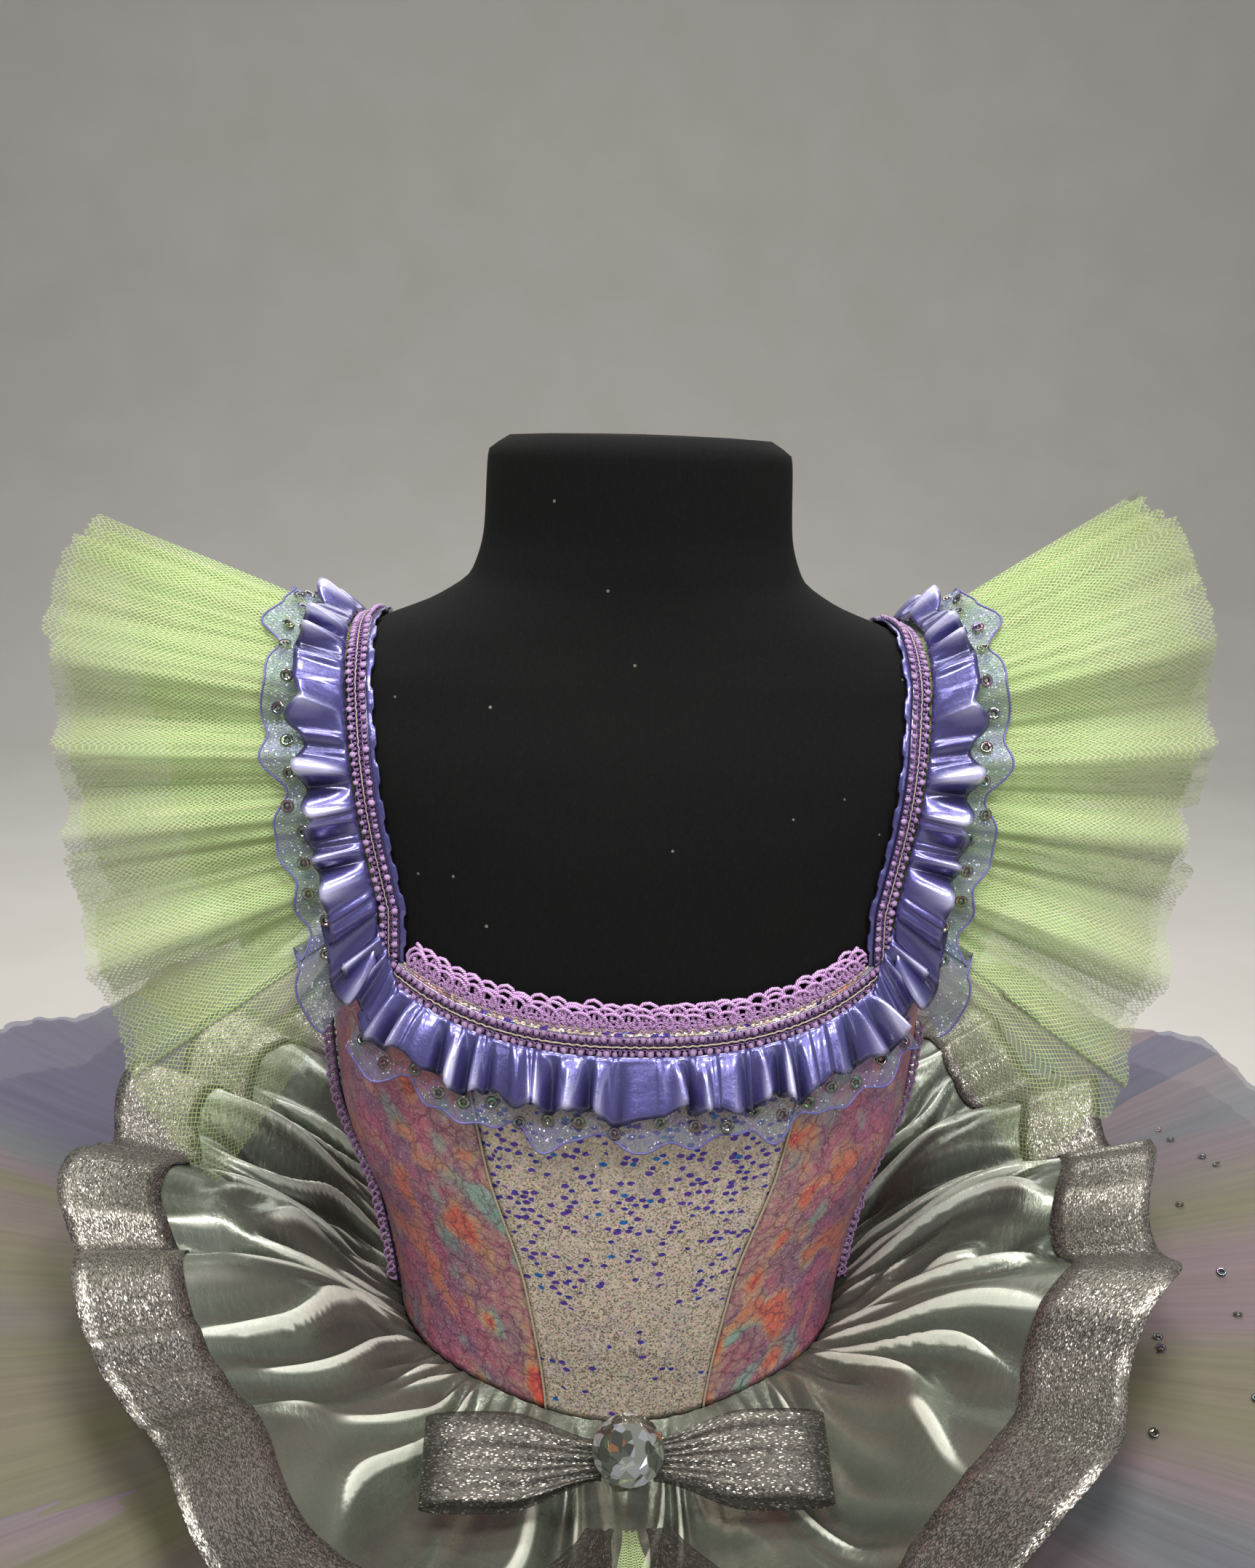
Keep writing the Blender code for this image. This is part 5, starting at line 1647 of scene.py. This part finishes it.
def overskirt_grid(angle, out, sizes):
    """Points and shade of the overskirt: out is 0 at the waist, 1 at the satin's edge and 2 at the ribbon's.

    Wide waves grow towards the edge, and swing it in and out as they lift it. Narrow ridges run from the
    waist to the edge, bending and gathering into one another, and short ones crowd at the waist.
    """
    out, angle = np.broadcast_arrays(np.asarray(out)[:, None], angle)
    share = angle / 360
    inner = np.minimum(out, 1.0)
    folds = sizes.overskirt_folds
    ridges = round(folds * RIDGES_PER_FOLD)
    front = front_share(angle)

    def uneven(bends, seed):
        return wander(share, bends, SEED + seed)

    drift = 0.14 * uneven(7, 93) + 0.2 * uneven(10, 91) * (1 - inner)
    swell = 2 * np.pi * (folds // 2 * share + drift)
    swing = OVERSKIRT_SWING * inner**2 * np.sin(swell + 0.7) * (1 + 0.3 * uneven(11, 90))
    plan, height = overskirt_base(angle, inner, 2.5 + ease(inner * 8), OVERSKIRT_REACH + swing)
    plan = plan + outward(angle) * ((out - inner) * (RIBBON_REACH - OVERSKIRT_REACH))[..., None]
    height = height + (out - inner) * RIBBON_RISE
    wave = 0.78 * overskirt_fold(inner, front) * np.cos(swell)
    height = height + wave * (1 + 0.2 * uneven(folds / 1.8, 94))
    bend = 1.3 * uneven(15, 95) * (1 - inner) ** 1.4 + 0.9 * uneven(13, 96) * inner**1.5
    bend = bend + 0.6 * uneven(12, 97) * np.sin(np.pi * inner)
    bend = bend + 0.3 * uneven(17, 105) * np.sin(2.4 * np.pi * inner)
    strength = np.clip(0.95 + 0.85 * uneven(29, 98) + 0.8 * uneven(23, 99) * (2 * inner - 1), 0.05, 2.1)
    calm = 1 - 0.6 * front
    size = (2.0 + 2.6 * bump_at(inner, 0.5, 0.4)) * ease(inner * 7) * (1 - 0.6 * ease((inner - 0.7) / 0.3))
    height = height + calm * size * strength * ridge(ridges * share + bend)
    crowd = ridge(folds * 2 * share + 3.3 * uneven(23, 100) * inner)
    height = height + calm * 1.6 * bump_at(inner, 0.16, 0.13) * crowd * (2.1 - strength)
    swirl = np.sin(11 * inner + 6 * uneven(19, 101)) * uneven(folds, 102)
    height = height + calm * (0.7 * bump_at(inner, 0.5, 0.3) + 2.2 * bump_at(inner, 0.22, 0.1)) * swirl
    # The shade gives the sage satin painted shade in the valleys and a painted highlight on the crests
    raised = relief(height, height.shape[1] // ridges // 2, 6.4, True)
    shade = 0.1 + 0.64 * raised + 0.5 * crest_line(height, 4, 3.2, True) ** 1.3
    return np.concatenate((plan, height[..., None]), axis=-1), np.clip(shade, 0, 1)


def crest_height(angle, distance):
    """Height of the crests of the overskirt's folds at a distance from the middle of the waist.

    It is read from twelve lines round the skirt, along a straight line between the two nearest.
    """
    inner = np.linspace(0, 1, 12)[:, None, None]
    plan, height = overskirt_base(angle, inner, 3.5, OVERSKIRT_REACH)
    height = height + 0.9 * overskirt_fold(inner, front_share(angle))
    reach = np.hypot(plan[..., 0], plan[..., 1])
    low = np.clip((reach < distance).sum(axis=0) - 1, 0, len(reach) - 2)[None]
    near, below = (np.take_along_axis(rows, low, axis=0)[0] for rows in (reach, height))
    far, above = (np.take_along_axis(rows, low + 1, axis=0)[0] for rows in (reach, height))
    return below + (above - below) * np.clip((distance - near) / (far - near), 0, 1)


class OverskirtBuilder(bpy.types.Operator):
    """Make the satin overskirt and the ribbon along its edge"""

    bl_idname = "tutu.make_overskirt"
    bl_label = "Overskirt and ribbon"

    def execute(self, context):
        sizes = context.scene.tutu_sizes
        angle = np.linspace(0, 360, OVERSKIRT_COLUMNS, endpoint=False)
        grid, shade = (part[::-1] for part in overskirt_grid(angle, OVERSKIRT_ROWS, sizes))
        label, kind = "satin_overskirt", "sage_satin"
        made = cloth(label + "_cloth", grid, finish("sage"), kind, (label,), 0.0, True, shade)
        grid, shade = (part[::-1] for part in overskirt_grid(angle, RIBBON_ROWS, sizes))
        grid = grid + (0, 0, RIBBON_LIFT)
        label, kind = "ribbon_hem", "silver"
        made = cloth(label + "_cloth", grid, finish(kind), kind, (label,), RIBBON_WALL, True, shade)
        return {"FINISHED"}


def tier_grid(angle, out, tier, sizes, seed, sink):
    """Points of one sheet of the tutu: large undulations, and fine gathers that fade towards the waist."""
    out, angle = np.broadcast_arrays(out[:, None], angle)
    share = angle / 360
    front = front_share(angle)
    root = body_point(angle, seam_height(angle) - (tier[TIER_ROOT] + BOW_DIP * front + sink), TIER_CLEAR)
    reach = tier[TIER_REACH] * (1 - 0.004 * (1 + ragged(share, 240, seed)))
    rim = tier[TIER_RIM] - TUTU_FRONT_DROP * front - sink
    plan = root[..., :2] + (outward(angle) * reach[..., None] - root[..., :2]) * out[..., None]
    height = root[..., 2] + (rim - root[..., 2]) * out
    phase = TUTU_FOLDS * share + 0.18 * wander(share, 7, seed + 1)
    wave = TUTU_FOLD * out**FOLD_GROWTH * np.cos(2 * np.pi * phase)
    height = height + wave * (1 + 0.12 * wander(share, 11, seed + 2))
    height = height + 1.1 * out**0.6 * (ruffle(share, sizes.gathers, seed + 3) - 0.5)
    height = height + 1.6 * out * (ruffle(share, sizes.gathers // 3, seed + 4) - 0.5)
    return np.concatenate((plan, height[..., None]), axis=-1)


class TutuBuilder(bpy.types.Operator):
    """Make the tutu's sheets of tulle and the sequins on the top one"""

    bl_idname = "tutu.make_tutu"
    bl_label = "Tutu"

    def execute(self, context):
        sizes = context.scene.tutu_sizes
        angle = np.linspace(0, 360, TULLE_COLUMNS, endpoint=False)
        sheets = [(number, tier, sink) for number, tier in enumerate(TIERS, 1) for sink in TULLE_SINKS]
        for number, (tier_number, tier, sink) in enumerate(sheets, 1):
            grid = tier_grid(angle, TULLE_ROWS, tier, sizes, SEED + 110 + 7 * number, sink)
            stands_for = (f"tutu_tier_{tier_number}",) if sink == 0 else ()
            tulle = finish(f"tulle_{min(number, TULLE_FINISHES)}")
            made = cloth(f"tutu_sheet_{number}", grid[::-1], tulle, "tulle", stands_for, 0.0, True)
            if number == 1:
                self.make_tulle_sequins(grid, sizes)
        return {"FINISHED"}

    def make_tulle_sequins(self, grid, sizes):
        """Small sequins scattered on the top sheet at the wearer's left and behind."""
        rng = np.random.default_rng(SEED + 150)
        rows = rng.integers(4, grid.shape[0] - 2, TULLE_SEQUINS)
        columns = rng.integers(170, 620, TULLE_SEQUINS)
        centres = grid[rows, columns]
        slope = unit(np.cross(grid[rows, columns + 1] - centres, grid[rows + 1, columns] - centres))
        slope *= np.sign(slope[:, 2:])
        make_sequins("tutu_sequins", centres + slope * 0.6, slope, sizes.sequin_radius * 0.8)


# Bow

BOW_ACROSS = np.array((1.0, 0.0, 0.0))
BOW_RISE = unit(np.array(BOW_UP))
BOW_OUT = np.cross(BOW_ACROSS, BOW_RISE)
SEAT = KNOT_TOP + 0.3
KNOT_SIDES = 48
KNOT_LOBES = 0.5
GEM_SIDES = 16

# Rings of the knot and of the gem: radius, height, and turn in halves of a step
KNOT_RINGS = (
    (KNOT_HALF - 1, -5.5, 0), (KNOT_HALF, -3.0, 0), (KNOT_HALF + 0.2, 3.0, 0), (KNOT_HALF, KNOT_TOP - 2.2, 0),
    (KNOT_HALF - 1.5, KNOT_TOP, 0),
)
GEM_RINGS = (
    (GEM_RADIUS - 1.0, SEAT, 0), (GEM_RADIUS, SEAT + 0.9, 0), (GEM_RADIUS, SEAT + 1.5, 0),
    (GEM_RADIUS - 2.1, SEAT + 3.3, 1), (GEM_TABLE + 1.4, SEAT + 4.9, 0), (GEM_TABLE, SEAT + GEM_HEIGHT, 1),
)


def bow_rings(rings, sides, lobes=0.0):
    """Rings of points round the middle of the bow, each with six shallow lobes of the height given."""
    radius, height, half = np.array(rings).T[..., None, None]
    turn = (np.arange(sides)[:, None] + 0.5 * half) * 2 * np.pi / sides
    circle = np.cos(turn) * BOW_ACROSS + np.sin(turn) * BOW_RISE
    points = np.array(BOW_CENTRE) + circle * (radius + lobes * np.cos(6 * turn)) + BOW_OUT * height
    return Piece().add(points, wrap=True, caps=True)


class BowBuilder(bpy.types.Operator):
    """Make the bow with its tails, knot and gem"""

    bl_idname = "tutu.make_bow"
    bl_label = "Bow"

    def execute(self, context):
        for name, way in SIDES:
            self.make_loop(name, way)
        for tail in BOW_TAILS:
            self.make_tail(*tail)
        knot = bow_rings(KNOT_RINGS, KNOT_SIDES, KNOT_LOBES)
        knot.make("bow_knot_cloth", finish("silver"), ("bow_knot",), "silver")
        # A round brilliant, whose rings are turned half a step from one another so that its facets are kites
        gem = bow_rings(GEM_RINGS, GEM_SIDES)
        made = gem.make("bow_gem_stone", finish("gem"), ("bow_gem",), "gem", smooth=False)
        made.modifiers.new("Facets", "TRIANGULATE").quad_method = "FIXED"
        return {"FINISHED"}

    def make_loop(self, name, way):
        """A loop of ribbon: out from the knot and back, wide at its end and crumpled where it is pinched."""
        turn = np.linspace(0.03, 0.97, 60) * 2 * np.pi
        share = 0.5 - 0.5 * np.cos(turn)
        reach = KNOT_HALF + BOW_LOOP * share
        lift = BOW_LIFT + BOW_LOOP_THICKNESS / 2 * np.sin(turn) * share + np.cos(turn / 2)
        width = BOW_PINCH + (BOW_RIBBON - BOW_PINCH) * ease(share / LOOP_FULL_AT)
        across = np.linspace(-0.5, 0.5, 16)[:, None]
        crumple = 1.1 * (1 - share) ** 0.8 * np.cos(2 * np.pi * 3.5 * across + way)
        arch = 1.6 * np.sin(turn) * (0.25 - across**2) * 4 * share
        rows = np.array(BOW_CENTRE) + reach[:, None] * way * BOW_ACROSS
        rows = rows + (across * width)[..., None] * BOW_RISE
        rows = rows + (lift + crumple + arch)[..., None] * BOW_OUT
        label = f"bow_loop_{name}"
        made = cloth(label + "_cloth", rows[:, ::way], finish("bow"), "silver", (label,), 0.4)

    def make_tail(self, name, start, end, length, wide, clear):
        """A tail that runs outwards over the overskirt, pinched at the knot and rippled across."""
        run = np.linspace(0, 1, 50)
        edge = np.linspace(-1, 1, 14)[:, None]
        x = start + (end - start) * run + edge * wide * (TAIL_PINCH + (0.5 - TAIL_PINCH) * ease(run * 2))
        y = np.broadcast_to(BOW_CENTRE[1] - TAIL_START - length * run, x.shape)
        height = crest_height(np.degrees(np.arctan2(x, -y)), np.hypot(x, y)) + clear + 1.6
        height = height + 1.2 * (1 - 0.6 * run) * (1 + np.cos(np.pi * 2.5 * edge)) * 0.5
        look, slot, wall = ("net", "net", 0.0) if name == "net" else ("bow", "silver", 0.4)
        label = f"bow_tail_{name}"
        made = cloth(label + "_cloth", np.stack((x, y, height), -1), finish(look), slot, (label,), wall)


# Stage

# Lights: place, target, size across and along, power in watts, and colour
LIGHTS = (
    ("key right", (-0.42, -0.95, 1.85), (0, 0, 0.3), (0.45, 0.22), 17.0, (1.0, 0.97, 0.93)),
    ("key left", (0.5, -0.85, 1.9), (0, 0, 0.3), (0.45, 0.22), 15.0, (1.0, 0.98, 0.95)),
    ("fill", (1.3, -1.3, 1.2), (0, 0, 0.35), (0.8, 0.8), 4.0, (0.95, 0.97, 1.0)),
    ("top", (0.0, -0.1, 2.1), (0, 0, 0.3), (0.7, 0.25), 16.0, (1.0, 0.99, 0.97)),
    ("behind", (-0.3, 0.95, 2.0), (0, 0, 0.3), (1.2, 0.4), 9.0, (1.0, 0.99, 0.97)),
    ("back", (0.4, 1.7, 1.8), (0, 0, 0.4), (1.0, 0.7), 7.0, (1.0, 1.0, 1.0)),
)
ROOM_COLOUR = (0.95, 0.97, 1.0, 1)
ROOM_STRENGTH = 0.26

# The floor, in metres: half its width, where it starts and ends, and the radius and top of its curved back
FLOOR_HALF, FLOOR_FRONT, FLOOR_BACK, FLOOR_BEND, FLOOR_TOP = 4.0, -6.0, 3.0, 1.2, 4.5


class StageBuilder(bpy.types.Operator):
    """Set up the floor, the lights and the camera"""

    bl_idname = "tutu.set_stage"
    bl_label = "Floor, lights and camera"

    def execute(self, context):
        scene = context.scene
        self.make_floor(scene)
        for light in LIGHTS:
            self.make_light(scene, *light)
        room = bpy.data.worlds.new("room")
        scene.world = room
        room.use_nodes = True
        backdrop = room.node_tree.nodes["Background"]
        backdrop.inputs["Color"].default_value = ROOM_COLOUR
        backdrop.inputs["Strength"].default_value = ROOM_STRENGTH
        scene.view_settings.view_transform = "Standard"
        scene.cycles.transparent_max_bounces = 24
        self.make_camera(scene)
        return {"FINISHED"}

    def make_floor(self, scene):
        """A floor that curves up behind the form: a level line, a quarter circle and an upright line."""
        material, nodes = new_material("pale floor", tone(206, 203, 197), 0.8)
        grain = nodes.spread(nodes.noise(nodes.solid(), 6.0, 3.0), 0.3, 0.7)
        nodes.feed(Base_Color=nodes.mix(grain, tone(203, 200, 193), tone(209, 206, 200)))
        turn = np.linspace(0, np.pi / 2, 24)
        y, z = FLOOR_BACK - FLOOR_BEND + FLOOR_BEND * np.sin(turn), FLOOR_BEND - FLOOR_BEND * np.cos(turn)
        y, z = np.array((FLOOR_FRONT, *y, FLOOR_BACK)), np.array((0.0, *z, FLOOR_TOP))
        points = np.stack(np.broadcast_arrays((-FLOOR_HALF, FLOOR_HALF), y[:, None], z[:, None]), -1)
        mesh = bpy.data.meshes.new("floor")
        mesh.from_pydata(points.reshape(-1, 3).tolist(), [], grid_faces(len(y), 2)[0].tolist())
        mesh.materials.append(material)
        mesh.shade_smooth()
        floor = bpy.data.objects.new("floor", mesh)
        scene.collection.objects.link(floor)

    def make_light(self, scene, name, place, target, size, power, colour):
        """A rectangular light that faces its target."""
        light = bpy.data.lights.new(name, "AREA")
        light.shape = "RECTANGLE"
        light.size, light.size_y = size
        light.energy = power
        light.color = colour
        lamp = bpy.data.objects.new(name, light)
        lamp.location = place
        lamp.rotation_euler = (Vector(target) - Vector(place)).to_track_quat("-Z", "Y").to_euler()
        scene.collection.objects.link(lamp)

    def make_camera(self, scene):
        """The camera, turned by its angle round the form, tipped by its pitch and then rolled."""
        turn, pitch, roll = (math.radians(value) for value in (CAMERA_TURN, CAMERA_PITCH, CAMERA_ROLL))
        flat = math.cos(pitch)
        forward = Vector((math.sin(turn) * flat, math.cos(turn) * flat, -math.sin(pitch)))
        level = Vector((math.cos(turn), -math.sin(turn), 0))
        below = forward.cross(level)
        right = level * math.cos(roll) + below * math.sin(roll)
        down = below * math.cos(roll) - level * math.sin(roll)
        data = bpy.data.cameras.new("camera")
        data.lens = CAMERA_LENS
        data.sensor_width = SENSOR
        data.sensor_fit = "AUTO"
        data.clip_start = 0.02
        camera = bpy.data.objects.new("camera", data)
        facing = Matrix((right, -down, -forward)).transposed().to_4x4()
        camera.matrix_world = Matrix.Translation(CAMERA_PLACE) @ facing
        scene.collection.objects.link(camera)
        scene.camera = camera


BUILDERS = (
    StageBuilder, FormBuilder, BodiceBuilder, TrimBuilder, FrillBuilder, WingBuilder, TutuBuilder,
    OverskirtBuilder, BowBuilder,
)


class TutuPanel(bpy.types.Panel):
    """Sidebar panel that lists the sizes, the colours and the pieces"""

    bl_idname = "VIEW3D_PT_tutu"
    bl_label = "Tutu Dress"
    bl_space_type = "VIEW_3D"
    bl_region_type = "UI"
    bl_category = "Tutu"

    def draw(self, context):
        for settings in (context.scene.tutu_sizes, context.scene.tutu_colours):
            for name in settings.__annotations__:
                self.layout.prop(settings, name)
        for builder in BUILDERS:
            self.layout.operator(builder.bl_idname)


CLASSES = (TutuColours, TutuSizes, *BUILDERS, TutuPanel)


def register():
    for kind in CLASSES:
        bpy.utils.register_class(kind)
    bpy.types.Scene.tutu_colours = PointerProperty(type=TutuColours)
    bpy.types.Scene.tutu_sizes = PointerProperty(type=TutuSizes)


def unregister():
    del bpy.types.Scene.tutu_sizes
    del bpy.types.Scene.tutu_colours
    for kind in reversed(CLASSES):
        bpy.utils.unregister_class(kind)


def main():
    register()
    for name in ("Cube", "Light", "Camera"):
        if name in bpy.data.objects:
            bpy.data.objects.remove(bpy.data.objects[name])
    bpy.ops.tutu.set_stage()
    bpy.ops.tutu.make_form()
    bpy.ops.tutu.make_bodice()
    bpy.ops.tutu.make_trims()
    bpy.ops.tutu.make_frills()
    bpy.ops.tutu.make_wings()
    bpy.ops.tutu.make_tutu()
    bpy.ops.tutu.make_overskirt()
    bpy.ops.tutu.make_bow()


if __name__ == "__main__":
    main()
